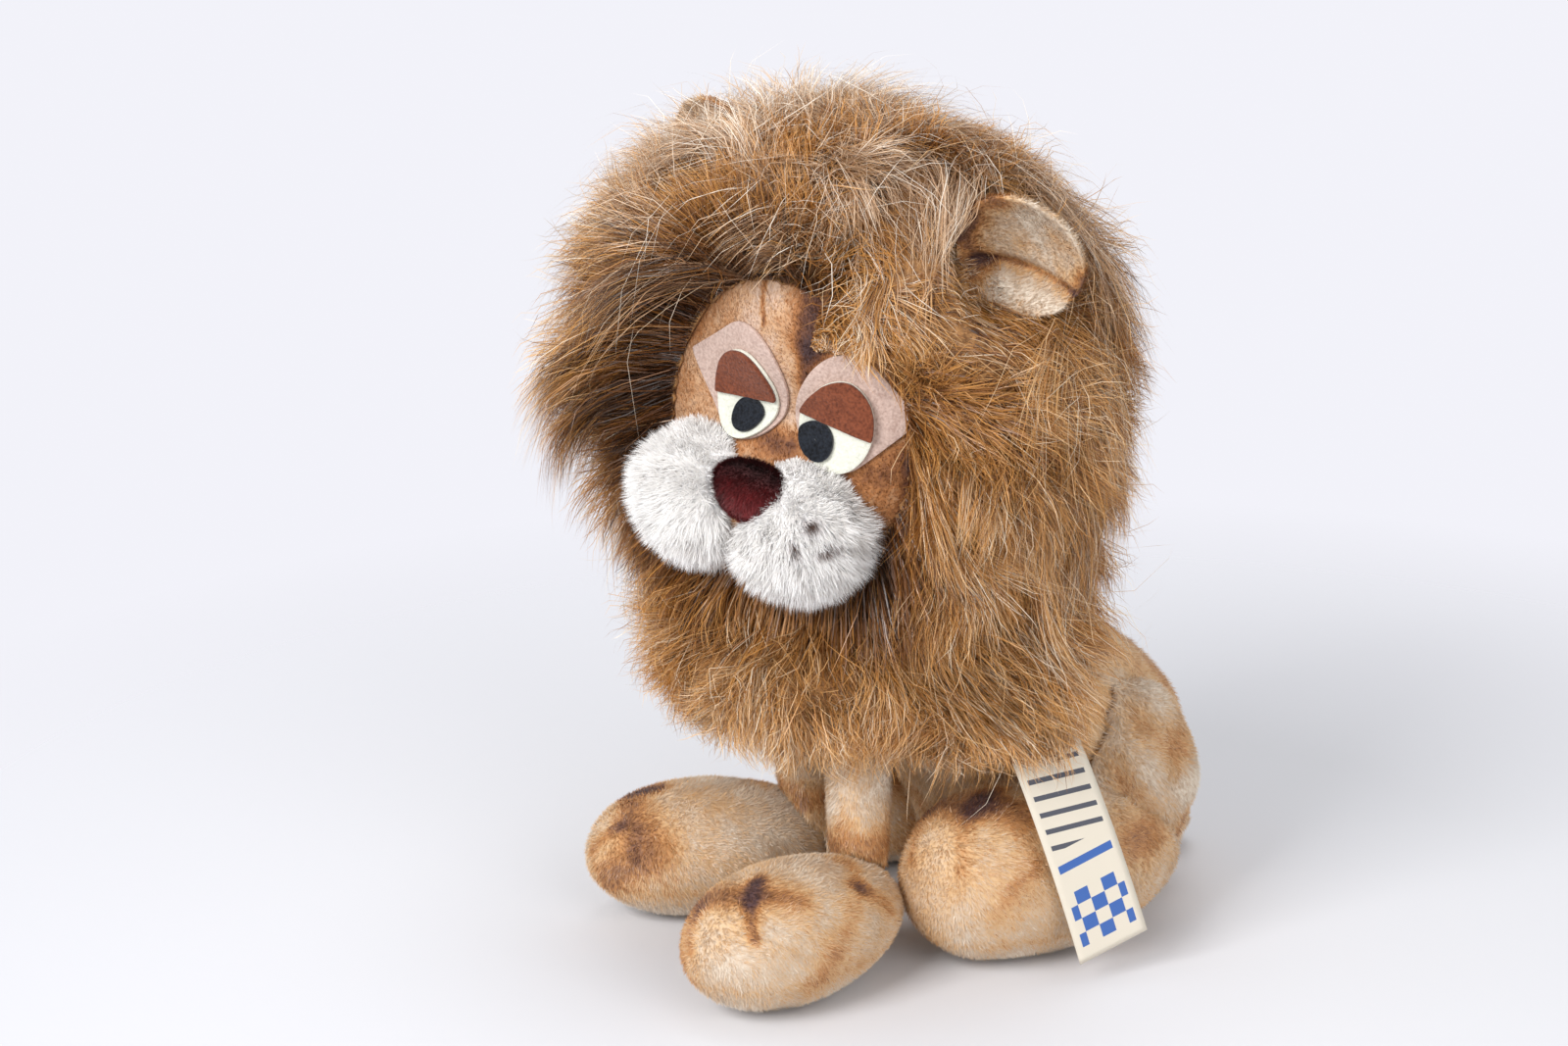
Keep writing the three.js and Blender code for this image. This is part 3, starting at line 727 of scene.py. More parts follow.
# Tail tuft: a small bush of the same long pile over the end of the tail.
tuft = stuffed("tail_tuft", voxel=2.0, swell=0)
at = points_of(tuft)
end_way = unit(np.array([-0.85, -0.5, 0.0]))
centre = at.mean(axis=0)
stitches = centre + np.min((at - centre) @ end_way) * end_way
move_points(tuft, stitches - 2.0 * end_way + 0.66 * (at - stitches))
paint(tuft, np.full(len(at), 0.3))
tuft.data.materials.append(skin_material)
tuft_count = 4500
rng = np.random.default_rng(210)
roots, outward, _ = scatter(tuft, tuft_count, 210)
start = 0.5 * outward + end_way + 0.2 * rng.normal(size=roots.shape)
lengths = 15 * rng.uniform(0.5, 1.1, tuft_count)
paths = combed_out(roots, start, lengths, steps=5, droop=0.12, wander=0.3, size=20, seed=211)
middles, lock = locks_over(roots, 60, 212)
paths = gathered(paths, middles, lock, pull=0.6, power=1.2, seed=214)
paths[:, :, 2] = np.maximum(paths[:, :, 2], 0.4)
tone = 0.6 + lock_tones(lock, 0.07, 213) + 0.1 * rng.normal(size=tuft_count)
tuft_fur = hairs("tail_tuft_fur", paths, rng.uniform(0.3, 0.5, tuft_count), outward, tone, fur_material)
join("tail", "mane_fur", tuft, tuft_fur)
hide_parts("tail_tuft")

# Head: a stuffed ball of short face plush with a dished face, a seam down the forehead, a pale
# brow, painted shade round it under the edge of the mane, and brown under the eyes.
head_yaw = 26
head_tilt = 10
head_middle = np.array([0.0, neck_y, 186.0])
turned = Matrix.Rotation(np.radians(head_yaw), 3, "Z") @ Matrix.Rotation(np.radians(head_tilt), 3, "Y")
head_turned = np.array(turned)


def in_head(points):
    """Places in the head's own frame: left, back and up from its middle."""
    return (points - head_middle) @ head_turned


def from_head(points):
    return points @ head_turned.T + head_middle


head = stuffed("head", voxel=2.6, swell=0)
at = in_head(points_of(head))
flat = at[:, [0, 2]]
shade = 0.54 + 0.08 * clouds(at, 20, 71) + 0.05 * clouds(at, 7, 72)
# Painted shade at the top of the face, under the mane.
shade -= 0.45 * step_up(flat[:, 1], 46, 54)
# Painted shade at the upper corner of the brow on the lion's left, under the forelock.
shade -= 0.5 * step_up(flat[:, 0], 14, 19) * step_up(flat[:, 1], 24, 30)
# Painted shade round the edge of the face opening, under the mane.
shade -= 0.6 * step_up(np.hypot((flat[:, 0] - 1) / 47, (flat[:, 1] + 8) / 55), 0.9, 1.02)
forehead_seam = ((-9, 46), (-3.5, 30), 0.8, 0.5)
face_strokes = [
    forehead_seam,
    ((-8, 44), (-4, 26), 10, -0.2),
    ((5, 14), (6, -4), 6, -0.12),
    # Painted shade beside the brow, under the forelock.
    ((10, 48), (13, 26), 5.5, 0.45),
    # Painted shade between the brow and the near eye patch.
    ((12, 26), (12, 14), 3, 0.3),
    # Painted shade at the far edge of the brow, under the mane.
    ((-26, 46), (-38, 20), 7, 0.3),
    ((2, -8), (9, -8), 5, 0.4),
    # Brown under the near eye: partly its own colour, partly painted shade in the crease beside the cheek.
    ((44, -4), (26, -20), 11, 0.2),
]
paint(head, stroked(shade, flat, face_strokes))
head.data.shade_smooth()


def on_face(middles, facing):
    local = in_head(middles)
    return (local[:, 1] < -12) * (np.abs(local[:, 0]) < 56) * (local[:, 2] < 58) * 1.0


face_stops = stops_of(
    (0.0, (68, 44, 44)),
    (0.22, (116, 70, 42)),
    (0.42, (178, 118, 68)),
    (0.6, (206, 164, 126)),
    (0.8, (216, 188, 168)),
    (1.0, (240, 228, 216)),
)
face_hair = pile_material("face_pile", face_stops, root=0.85)
face_cloth = (velour_skin("face_skin", face_stops), face_hair)
face_pile = dict(count=42000, length=2.0, combed=(0, 0, 1), seed=170, lift=0.35, keep=on_face)
finish_plush(head, "head", "face_plush", **face_pile, cloth=face_cloth)

# Eyes: four felt pieces each, glued in layers on the smooth face. A dusty pink patch with one
# drawn-out corner, an ivory oval, a brown upper lid cut straight, and a black pupil.
eye_spacing = 33.0
eye_shift = 8.0
eye_ahead, eye_height = 41.5, 4.0
felt_thickness = 1.2
felt_gap = 0.3
patch_half, patch_middle, patch_corner = (14.4, 19.6), (0, 4.2), (25.0, 7.0)
white_half, white_middle = (11.3, 15.5), (-0.3, 0)
pupil_half, pupil_low = (5.3, 7.0), -6.0
pupil_across = {"left": -5.0, "right": -2.2}
lid_inner_rise, lid_outer_rise = -2.2, 2.3
face_tree = BVHTree.FromObject(head, bpy.context.evaluated_depsgraph_get())


def felt_material(name, tone, dark):
    """Pressed wool felt: matted fibres, mottled in two tones."""
    material, tree, shader = new_material(name)
    fibres = add_noise(tree, 0.9, 6.0)
    blotches = add_noise(tree, 5.0, 4.0)
    mixed = add_math(tree, "MULTIPLY_ADD", blotches, 0.35, -0.17)
    stops = stops_of((0.3, dark), (0.62, tone))
    dye(tree, shader, stops, add_math(tree, "ADD", fibres, mixed))
    add_bump(tree, shader, fibres, 0.5, 0.8)
    set_values(shader, Roughness=0.95, Specular_IOR_Level=0.15, Sheen_Weight=0.25)
    return material


def eye_frame(side):
    """The ways ahead, outwards and up of an eye, in the head's frame."""
    ahead = unit(np.array([eye_shift + side * eye_spacing / 2, -eye_ahead, eye_height]))
    outward = unit(np.cross((0, 0, 1), ahead)) * side
    return ahead, outward, np.cross(ahead, outward) * side


def felt(name, side, outline, layer, material, slot):
    """A felt piece of an outline, given across (outwards) and up, laid on the face."""
    ahead, outward, upward = eye_frame(side)
    outline = np.array(outline)
    middle = outline.mean(axis=0)
    count, rings = len(outline), 9
    spots = [middle]
    for k in range(1, rings + 1):
        spots += list(middle + (outline - middle) * k / rings)
    turned = head_turned @ ahead
    points = []
    well_ahead = 110
    low = felt_gap + layer * (felt_thickness + felt_gap)
    for across, up in spots:
        source = from_head(ahead * well_ahead + outward * across + upward * up)
        hit, normal, _, _ = face_tree.ray_cast(Vector(source * mm), Vector(-turned))
        points.append(np.array(hit) / mm + np.array(normal) * low)
    faces = []
    for i in range(count):
        after = (i + 1) % count
        faces.append((0, 1 + i, 1 + after))
        for k in range(rings - 1):
            inner, outer = 1 + k * count, 1 + (k + 1) * count
            faces.append((inner + i, outer + i, outer + after, inner + after))
    mesh = bpy.data.meshes.new(name)
    mesh.from_pydata((np.array(points) * mm).tolist(), [], faces)
    piece = new_piece(name, mesh)
    if np.mean(normals_of(piece) @ turned) < 0:
        mesh.flip_normals()
    apply_modifier(piece, "SMOOTH", factor=0.5, iterations=3)
    apply_modifier(piece, "SOLIDIFY", thickness=felt_thickness * mm, offset=1.0)
    bevel = dict(width=0.25 * mm, segments=2, limit_method="ANGLE", angle_limit=np.radians(50))
    apply_modifier(piece, "BEVEL", **bevel)
    piece.data.shade_smooth()
    piece.data.materials.append(material)
    join("head", slot, piece)
    return piece


def arc(count, half, middle, start, end):
    """Points of an ellipse between two angles."""
    turn = np.linspace(start, end, count)
    return np.stack([middle[0] + half[0] * np.cos(turn), middle[1] + half[1] * np.sin(turn)], axis=1)


def oval(half, middle):
    """A whole ellipse, given by its half sizes and its middle."""
    return arc(96, half, middle, 0, 2 * np.pi * 95 / 96)


def spaced(outline, count=96):
    """The same closed outline with evenly spaced points."""
    closed = np.vstack([outline, outline[:1]])
    length = np.append(0, np.cumsum(np.linalg.norm(np.diff(closed, axis=0), axis=1)))
    at_length = np.linspace(0, length[-1], count, endpoint=False)
    return np.stack([np.interp(at_length, length, closed[:, i]) for i in range(2)], axis=1)


patch_felt = felt_material("patch_felt", (212, 186, 174), (180, 152, 140))
white_felt = felt_material("white_felt", (234, 234, 220), (214, 214, 200))
lid_felt = felt_material("brown_felt", (132, 72, 48), (92, 46, 30))
pupil_felt = felt_material("black_felt", (34, 38, 46), (8, 9, 13))
for side, end in sides:
    round_part = arc(60, patch_half, patch_middle, np.radians(56), np.radians(300))
    patch = spaced(np.vstack([[patch_corner], round_part]))
    start, stop = (np.arcsin(rise / white_half[1]) for rise in (lid_inner_rise, lid_outer_rise))
    lid = spaced(arc(60, white_half, white_middle, start, np.pi - stop))
    white, pupil = oval(white_half, white_middle), oval(pupil_half, (pupil_across[end], pupil_low))
    layers = [
        ("eye_patch", patch, 0, patch_felt, "patch_felt"),
        ("eye_white", white, 1, white_felt, "white_felt"),
        ("eyelid", lid, 2, lid_felt, "brown_felt"),
        ("pupil", pupil, 2, pupil_felt, "black_felt"),
    ]
    for node, outline, layer, material, slot in layers:
        piece = felt(f"{node}_{end}_felt", side, outline, layer, material, slot)
        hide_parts(f"{node}_{end}")

# Nose: a stuffed pad of maroon velvet, flat on top and narrower below, its pile short and dark
# at the upper edge.
nose = stuffed("nose", voxel=1.4, swell=0.3)
at = in_head(points_of(nose))
nose_middle = at.mean(axis=0)
away = at - nose_middle
nose_half_height = 10.5
nose_taper = 0.14
nose_shift = np.array([2.0, -1.8, 1.4])
top_flatness = 0.86
rise = away[:, 2] / nose_half_height
away[:, 0] *= 1.0 + nose_taper * rise
away += nose_shift
away[:, 2] = np.where(away[:, 2] > 0, away[:, 2] * top_flatness, away[:, 2])
move_points(nose, from_head(nose_middle + away))
nose.data.shade_smooth()
velvet_stops = stops_of((0.0, (30, 12, 12)), (0.5, (84, 26, 28)), (1.0, (150, 46, 50)))
velvet_material = pile_material("nose_velvet", velvet_stops, root=0.5, roughness=0.5)
shade = 0.5 - 0.4 * step_up(rise, 0.3, 0.9) + 0.3 * soft(away[:, 0] - 4, 6) * soft(rise + 0.4, 0.4)
paint(nose, shade + 0.08 * clouds(at, 5, 81))
velvet_skin, tree, shader = new_material("nose_velvet_skin")
dye(tree, shader, velvet_stops, read_shade(tree))
add_bump(tree, shader, add_noise(tree, 0.8), 0.4)
set_values(shader, Roughness=0.8)
nose.data.materials.append(velvet_skin)
forward = head_turned @ np.array([0, -1, -0.6])
velvet_pile = dict(count=12000, length=2.0, combed=forward, lift=1.2, seed=180, width=0.35)
nose_nap = nap("nose_pile", nose, material=velvet_material, **velvet_pile)
join("head", "nose_velvet", nose, nose_nap)
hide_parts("nose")

# Cheeks: two round pads of dense white pile below the nose, with a few smudges of brown paint
# where whiskers would be.
white_stops = stops_of(
    (0.0, (96, 76, 68)),
    (0.4, (212, 206, 206)),
    (0.7, (248, 247, 250)),
    (1.0, (255, 255, 255)),
)
white_pile = pile_material("white_fur", white_stops, root=1.0, roughness=0.6, gloss=0.2)
white_skin, tree, shader = new_material("white_fur_skin")
ground_stops = stops_of((0.3, (238, 234, 232)), (0.7, (250, 248, 248)))
dye(tree, shader, ground_stops, add_noise(tree, 2.0))
set_values(shader, Roughness=0.9)
cheek_count = 34000
cheek_locks = 1500
nose_place = np.array([6.0, -50.0, -20.0])
on_front = np.array([1, 0, 1])
whisker_marks = [
    ((34, -62.5, -23), (36, -65.5, -21.5), 2.3, 1.5),
    ((30.5, -65, -32), (32.5, -69, -30), 1.7, 1.5),
    ((38, -61.5, -32), (43, -58, -29), 1.6, 1.5),
]
for side, end in sides:
    cheek = stuffed(f"cheek_{end}", voxel=2.0, swell=0)
    cheek.data.shade_smooth()
    cheek.data.materials.append(white_skin)
    rng = np.random.default_rng(220 + side)
    roots, outward, _ = scatter(cheek, cheek_count, 220 + side)
    local = in_head(roots)
    from_nose = unit((local - nose_place) * on_front) @ head_turned.T
    middles, lock = locks_over(roots, cheek_locks, 223)
    near_eye = step_up(local[:, 2], -27, -15)
    start = 0.8 * outward + 0.45 * from_nose + 0.2 * down + 0.3 * rng.normal(size=roots.shape)
    start += 0.2 * rng.normal(size=(cheek_locks, 3))[lock]
    lengths = 8.5 * rng.uniform(0.45, 1.15, cheek_count)
    lengths *= 0.45 + 0.55 * step_up(np.hypot(*(local - nose_place)[:, [0, 2]].T), 11, 22)
    lengths *= 1 - 0.55 * near_eye
    paths = combed_out(roots, start, lengths, steps=3, droop=0.05, wander=0.25, size=12, seed=222)
    paths = gathered(paths, middles, lock, pull=0.25, power=1.0, seed=225)
    tone = 0.92 + lock_tones(lock, 0.015, 224) + 0.04 * rng.normal(size=cheek_count)
    # Painted shade: the hair darker low under the cheeks.
    tone -= 0.22 * step_up(-local[:, 2], 40, 58)
    tone = stroked(tone, in_head(paths[:, -1]), whisker_marks)
    widths = rng.uniform(0.2, 0.34, cheek_count)
    fur = hairs(f"cheek_{end}_fur", paths, widths, outward, tone, white_pile)
    join("head", "white_fur", cheek, fur)
    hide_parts(f"cheek_{end}")

# Ears: stiff cups of velour sewn on the upper sides of the head, each a shell with a rounded
# rim, plum round the edge and pale inside.
ear_roots = {
    "left": ((46.34, -64.97, 224.0), (-0.575, 0.727, 0.376), (0.744, 0.273, 0.610)),
    "right": ((-27.6, -101.04, 238.5), (-0.114, 0.952, 0.285), (-0.443, -0.306, 0.843)),
}
ear_height = 42.0
lip_height = 4.0
lip_half_width = 4.8
groove_depth = 2.5
ear_strokes = [
    # A painted highlight at the top of the hollow.
    ((-6, -14), (6, -12), 5, -0.12),
    ((-18, -6), (-14, 2), 6, 0.3),
    ((-18, -10), (-6, -20), 6.5, 0.5),
    ((-14, 9), (16, 17), 2.2, -0.16),
    ((22, 8), (20, 19), 5, 0.6),
    ((-20, 6), (-15, 9), 4, 0.45),
]
for end, (root, back, out) in ear_roots.items():
    root, back, out = np.array(root), np.array(back), np.array(out)
    ear = copied(f"ear_{end}")
    apply_modifier(ear, "SUBSURF", levels=3, render_levels=3)
    ear.data.shade_smooth()
    lowest = unit(down - (down @ back) * back)
    side = 1 if end == "left" else -1
    widest = side * np.cross(lowest, back)
    at = points_of(ear)
    away = at - (root + 0.5 * ear_height * out)
    flat = np.stack([away @ widest, away @ lowest], axis=1)
    lip = near_line(flat, (-18, 11), (20, 20)) / lip_half_width
    front = step_up(-(normals_of(ear) @ back), -0.2, 0.4)
    groove = near_line(flat, (-16, 4), (17, 13))
    lift = (lip_height * np.sqrt(np.clip(1 - lip**2, 0, 1)) - groove_depth * soft(groove, 2.6)) * front
    move_points(ear, at - lift[:, None] * back)
    apply_modifier(ear, "SMOOTH", factor=0.5, iterations=1)
    shade = 0.76 + 0.1 * clouds(at, 14, 91) + 0.05 * clouds(at, 5, 92)
    # Painted shade along the groove above the lip.
    shade -= 0.3 * soft(groove + 1.0, 2.6) + 0.25 * soft(groove, 1.2)
    paint(ear, stroked(shade, flat, ear_strokes))
    finish_plush(ear, f"ear_{end}", "ear_plush", count=12000, length=2.2, combed=out, seed=190)

# Mane: a hood of long-pile fur sewn round the head, open at the face and closed at the neck
# seam. Its hair stands away from the face, falls in locks, and hides the hood.
neck_seam = 118.6
hood_share = 0.86
ear_room = 27.0
opening = np.array([1.0, 0, -8.0])
opening_left, opening_right = 46, 41
opening_top, opening_bottom = 52, 43
head_tree = BVHTree.FromObject(head, bpy.context.evaluated_depsgraph_get())


def head_reach(ways):
    """Distance from the mane's middle to the head's surface, along unit directions."""
    well_outside, if_missed = 150, 60.0
    found = []
    for way in ways:
        source = Vector((mane_middle + well_outside * way) * mm)
        hit = head_tree.ray_cast(source, Vector(-way))[0]
        found.append(if_missed if hit is None else np.linalg.norm(np.array(hit) / mm - mane_middle))
    return np.array(found)


def over_brow(local):
    """How far inside the corner of the brow a place is that the forelock covers."""
    return np.minimum(local[:, 0] - 14, local[:, 2] - 27)


def hood_at(ways):
    """Places on the hood, and how far out each lies from the middle of the face opening: 1 is
    on its edge, where the hood is sewn to the face. Past it the hood swells clear of the head,
    and it dips round the ears."""
    skin = head_reach(ways) + 1.2
    local = in_head(mane_middle + ways * skin[:, None])
    across, _, up = (local - opening).T
    width = np.where(across > 0, opening_left, opening_right)
    ring = np.hypot(across / width, up / np.where(up > 0, opening_top, opening_bottom))
    ring = np.maximum(ring, 1 + 0.018 * over_brow(local))
    ring = np.where(local[:, 1] < -5, ring, 3.0)
    swell = step_up(ring, 1.0, 1.4)
    reach = skin + (np.maximum(hood_share * mane_reach(ways), skin) - skin) * swell
    for root, _, out in ear_roots.values():
        toward = np.array(root) + 0.5 * ear_height * np.array(out) - mane_middle
        along = ways @ toward
        inside = ear_room**2 - toward @ toward + along**2
        near = along - np.sqrt(np.maximum(inside, 0))
        reach = np.where((inside > 0) & (along > 0), np.maximum(np.minimum(reach, near), skin), reach)
    return mane_middle + ways * reach[:, None], ring


hood_form = bmesh.new()
bmesh.ops.create_icosphere(hood_form, subdivisions=6, radius=1.0)
ways = unit(np.array([v.co for v in hood_form.verts]))
hood_points, ring = hood_at(ways)
for vertex, point in zip(hood_form.verts, hood_points):
    vertex.co = point * mm
hood_form.verts.ensure_lookup_table()
gone = [hood_form.verts[i] for i in np.flatnonzero((ring < 0.98) | (hood_points[:, 2] < neck_seam))]
bmesh.ops.delete(hood_form, geom=gone, context="VERTS")
hood_mesh = bpy.data.meshes.new("mane_skin")
hood_form.to_mesh(hood_mesh)
hood_form.free()
hood = new_piece("mane_skin", hood_mesh)
apply_modifier(hood, "SOLIDIFY", thickness=1.0 * mm, offset=-1.0)
hood.data.shade_smooth()
hood.data.materials.append(backing_material)
join("head", "mane_fur", hood)
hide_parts("mane")

face_way = head_turned @ np.array([0.0, -1.0, 0.0])
lock_way = head_turned @ np.array([0.95, 0.05, 0.0])
tuft_way = unit(np.array([-45.0, -89.0, 8.0]))
buried_ear_way = unit(np.array([-40.0, -30.0, 82.0]))
below_ear = np.array([58.0, -72.0, 208.0])
beige_stops = stops_of(
    (0.0, (66, 46, 36)),
    (0.25, (140, 104, 74)),
    (0.5, (196, 156, 118)),
    (0.72, (224, 194, 162)),
    (1.0, (252, 244, 232)),
)
crown_material = pile_material("crown_fur", beige_stops, root=0.45, roughness=0.35, gloss=0.6)


def mane_roots(count, seed):
    """Seeded roots over the hood: their directions, places and rings."""
    ways = unit(np.random.default_rng(seed).normal(size=(int(count * 1.7), 3)))
    roots, ring = hood_at(ways)
    kept = np.flatnonzero((ring > 0.99) & (roots[:, 2] > neck_seam + 0.5))[:count]
    return ways[kept], roots[kept], ring[kept]


def mane_comb(ways, roots, ring):
    """The way the hair sets out from each root: back from the face and down, out from the rim
    of the opening, and over the brow in a forelock."""
    local = in_head(roots)
    to_rim = unit((local - opening) * on_front) @ head_turned.T
    away = -face_way + np.sum(face_way * ways, axis=1, keepdims=True) * ways
    hang = down - np.sum(down * ways, axis=1, keepdims=True) * ways
    rim = soft(ring - 1, 0.3)[:, None]
    top_rim = rim * step_up(local[:, 2], 5, 35)[:, None]
    crown = step_up(ways[:, 2], 0.2, 0.8)[:, None]
    start = 0.45 * ways + 0.4 * away + 0.8 * rim * to_rim
    start += 0.6 * hang * (1 - 0.5 * crown) * (1 - top_rim)
    start += 0.25 * rim * face_way + 0.5 * top_rim * to_rim
    start += 0.5 * drift(roots, 52, 301)
    forelock = step_up(over_brow(local), -4, 3) * (1 - step_up(ring, 1.25, 1.7)) * (local[:, 1] < -5)
    tuft = soft(np.linalg.norm(ways - tuft_way, axis=1), 0.3)[:, None]
    start += 1.2 * tuft * tuft_way
    return start + forelock[:, None] * (1.5 * lock_way - 0.9 * start)


cup_shift = np.array([0.8, 3.0, 2.9])
cup_radius = 19.5


def clear_of_ear(paths):
    """Shortens the hair that would hide the cup of the left ear. The right ear is half buried."""
    root, back, out = (np.array(part) for part in ear_roots["left"])
    from_ear = paths - (root + 0.5 * ear_height * out + cup_shift)
    depth = from_ear @ back
    aside = np.linalg.norm(from_ear - depth[..., None] * back, axis=-1)
    hiding = ((aside < cup_radius) & (depth < 8) & (depth > -34)).any(axis=1)
    return shortened(paths, np.where(hiding, 0.3, 1.0))


def clear_of_face(paths, exempt):
    """Ends the hair where it would cross the face, but for a few exempt hairs."""
    local = in_head(paths)
    across, up = local[..., 0] - opening[0], local[..., 2] - opening[2]
    width = np.where(across > 0, opening_left, opening_right) - 2
    window = np.hypot(across / width, up / (opening_top - 2)) < 1
    brow_corner = (local[..., 0] > 12) & (local[..., 2] > 31)
    crossing = window & (local[..., 1] < 0) & ~brow_corner
    first = np.where(crossing.any(axis=1) & ~exempt, crossing.argmax(axis=1), paths.shape[1])
    return shortened(paths, np.clip((first - 1) / (paths.shape[1] - 1), 0.12, 1))


def far_side(local):
    """1 on the lion's right of the face, rising from 0 at the middle."""
    return step_up(-local[:, 0], 5, 35)


def mane_tone(roots, ring):
    """Hair tones over the mane, in clouds, with painted shade beside the face and below the ear,
    and painted light on the lion's right away from the face.
    """
    local = in_head(roots)
    left_part = step_up(local[:, 0], 0, 16) * step_up(local[:, 2], -30, 0)
    tone = 0.51 + 0.06 * clouds(roots, 60, 330) + 0.05 * clouds(roots, 24, 331)
    # Painted shade beside the face, where the deep pile shades itself; less of it low on the lion's left.
    tone -= 0.36 * soft(ring - 1, 0.1 + 0.06 * far_side(local)) * (1 - 0.75 * left_part)
    # Painted light: the hair lighter on the lion's right, away from the face.
    tone += 0.21 * far_side(local) * step_up(ring, 1.08, 1.35)
    tone += 0.06 * (1 - step_up(roots[:, 2], 120, 150))
    # Painted shade below the left ear.
    return tone - 0.2 * soft(np.linalg.norm(roots - below_ear, axis=1), 15)


mane_low = np.array([-103.5, -182.0, 0.0])
mane_high = np.array([105.5, 82.0, 299.5])


def inside_box(paths):
    """Shortens each hair that would pass the outer limits of the mane."""
    roots = paths[:, :1]
    run = paths[:, 1:] - roots
    room = np.where(run > 0, mane_high - roots, roots - mane_low)
    share = np.min(room / np.maximum(np.abs(run), 1e-6), axis=(1, 2))
    return shortened(paths, np.minimum(share, 1))


def low_share(local, ring):
    """1 where the hair lies low beside the brow, else 0."""
    return step_up(over_brow(local), -8, 0) * (1 - step_up(ring, 1.2, 1.7)) * (local[:, 1] < -5)


under_count = 62000
rng = np.random.default_rng(320)
ways, roots, ring = mane_roots(under_count, 321)
start = unit(mane_comb(ways, roots, ring)) + 0.4 * rng.normal(size=roots.shape)
lengths = rng.uniform(12, 24, len(roots))
paths = combed_out(roots, start, lengths, steps=3, droop=0.1, wander=0.4, size=20, seed=322)
tips = 0.94 + 0.03 * rng.normal(size=len(roots)) - 0.2 * low_share(in_head(roots), ring)
paths = filled_out(paths, tips, 0.8)
tone = mane_tone(roots, ring) + 0.1 * rng.normal(size=len(roots)) - 0.04
widths = rng.uniform(0.3, 0.5, len(roots))
facing = unit(paths[:, 1] - mane_middle)
paths = clear_of_face(clear_of_ear(paths), np.zeros(len(roots), bool))
undercoat = hairs("mane_undercoat", paths, widths, facing, tone, fur_material)
join("head", "mane_fur", undercoat)

mane_count = 92000
big_locks, small_locks = 190, 2400
rng = np.random.default_rng(300)
ways, roots, ring = mane_roots(mane_count, 300)
count = len(roots)
rim = soft(ring - 1, 0.3) * (1 - far_side(in_head(roots)))
big_middles, big_lock = locks_over(roots, big_locks, 308)
middles, lock = locks_over(roots, small_locks, 309)
stray = rng.random(count) < 0.13
start = mane_comb(ways, roots, ring)
start += 0.35 * rng.normal(size=(big_locks, 3))[big_lock]
start += 0.3 * rng.normal(size=(small_locks, 3))[lock]
start += np.where(stray, 0.5, 0.14)[:, None] * rng.normal(size=roots.shape)
lengths = rng.uniform(0.55, 1.15, count) * (62 - 24 * rim)
lengths *= 1 - 0.4 * low_share(in_head(roots), ring)
over_tag = soft(bearing(ways) - stitch_bearing, stitch_spread) * (1 - step_up(roots[:, 2], 124, 150))
lengths *= 1 + 0.25 * over_tag
start += 0.7 * over_tag[:, None] * ways * level
free = combed_out(roots, start, lengths, steps=5, droop=0.14, wander=0.42, size=30, seed=305)
paths = gathered(free, big_middles, big_lock, pull=0.35, power=1.6, seed=312)
paths = gathered(paths, middles, lock, pull=0.55, power=1.2, seed=313)
paths[stray] = free[stray]
tips = 1.0 + lock_tones(big_lock, 0.035, 314) + lock_tones(lock, 0.03, 315)
tips += 0.03 * rng.normal(size=count) + np.where(stray, 0.06, 0) - 0.12 * rim
tips -= 0.18 * low_share(in_head(roots), ring)
tuft = soft(np.linalg.norm(ways - tuft_way, axis=1), 0.3)
over_ear = soft(np.linalg.norm(ways - buried_ear_way, axis=1), 0.25)
tips = np.minimum(tips, 1.12) - 0.07 * step_up(ways[:, 2], 0.5, 0.9) * (1 - over_ear)
tips += 0.12 * tuft + 0.13 * over_ear + 0.26 * over_tag
tips -= 0.08 * far_side(in_head(roots)) * step_up(-ways[:, 2], 0.0, 0.4)
paths = hung_over_tag(clear_of_ear(filled_out(paths, tips)), 317)
paths = inside_box(clear_of_face(paths, rng.random(count) < 0.015))
tone = mane_tone(roots, ring) + lock_tones(big_lock, 0.06, 310) + lock_tones(lock, 0.1, 311)
# Stray hairs are much paler: partly pale fibres, partly painted glints.
tone += 0.15 * rng.normal(size=count) + np.where(stray, 0.32, 0)
facing = twisted(unit(paths[:, 2] - mane_middle), 316)
widths = rng.uniform(0.18, 0.38, count) * np.where(stray, 0.7, 1)
turn = np.degrees(np.arctan2(ways[:, 0], -ways[:, 1]))
high_part = ways[:, 2] > 0.6 + 0.14 * rng.normal(size=count)
most_hairs = 27000
front_half = 62
regions = {
    "mane_fur_crown": high_part,
    "mane_fur_front": ~high_part & (np.abs(turn - head_yaw) < front_half),
    "mane_fur_left": ~high_part & (turn >= head_yaw + front_half),
    "mane_fur_right": ~high_part & (turn <= head_yaw - front_half),
}
for name, region in regions.items():
    chosen = np.flatnonzero(region)
    share_count = int(np.ceil(len(chosen) / most_hairs))
    for number, part in enumerate(np.array_split(chosen, share_count), start=1):
        label = f"{name}_{number}"
        material = crown_material if "crown" in name else fur_material
        fur = hairs(label, paths[part], widths[part], facing[part], tone[part], material)
        join("head", "mane_fur", fur)

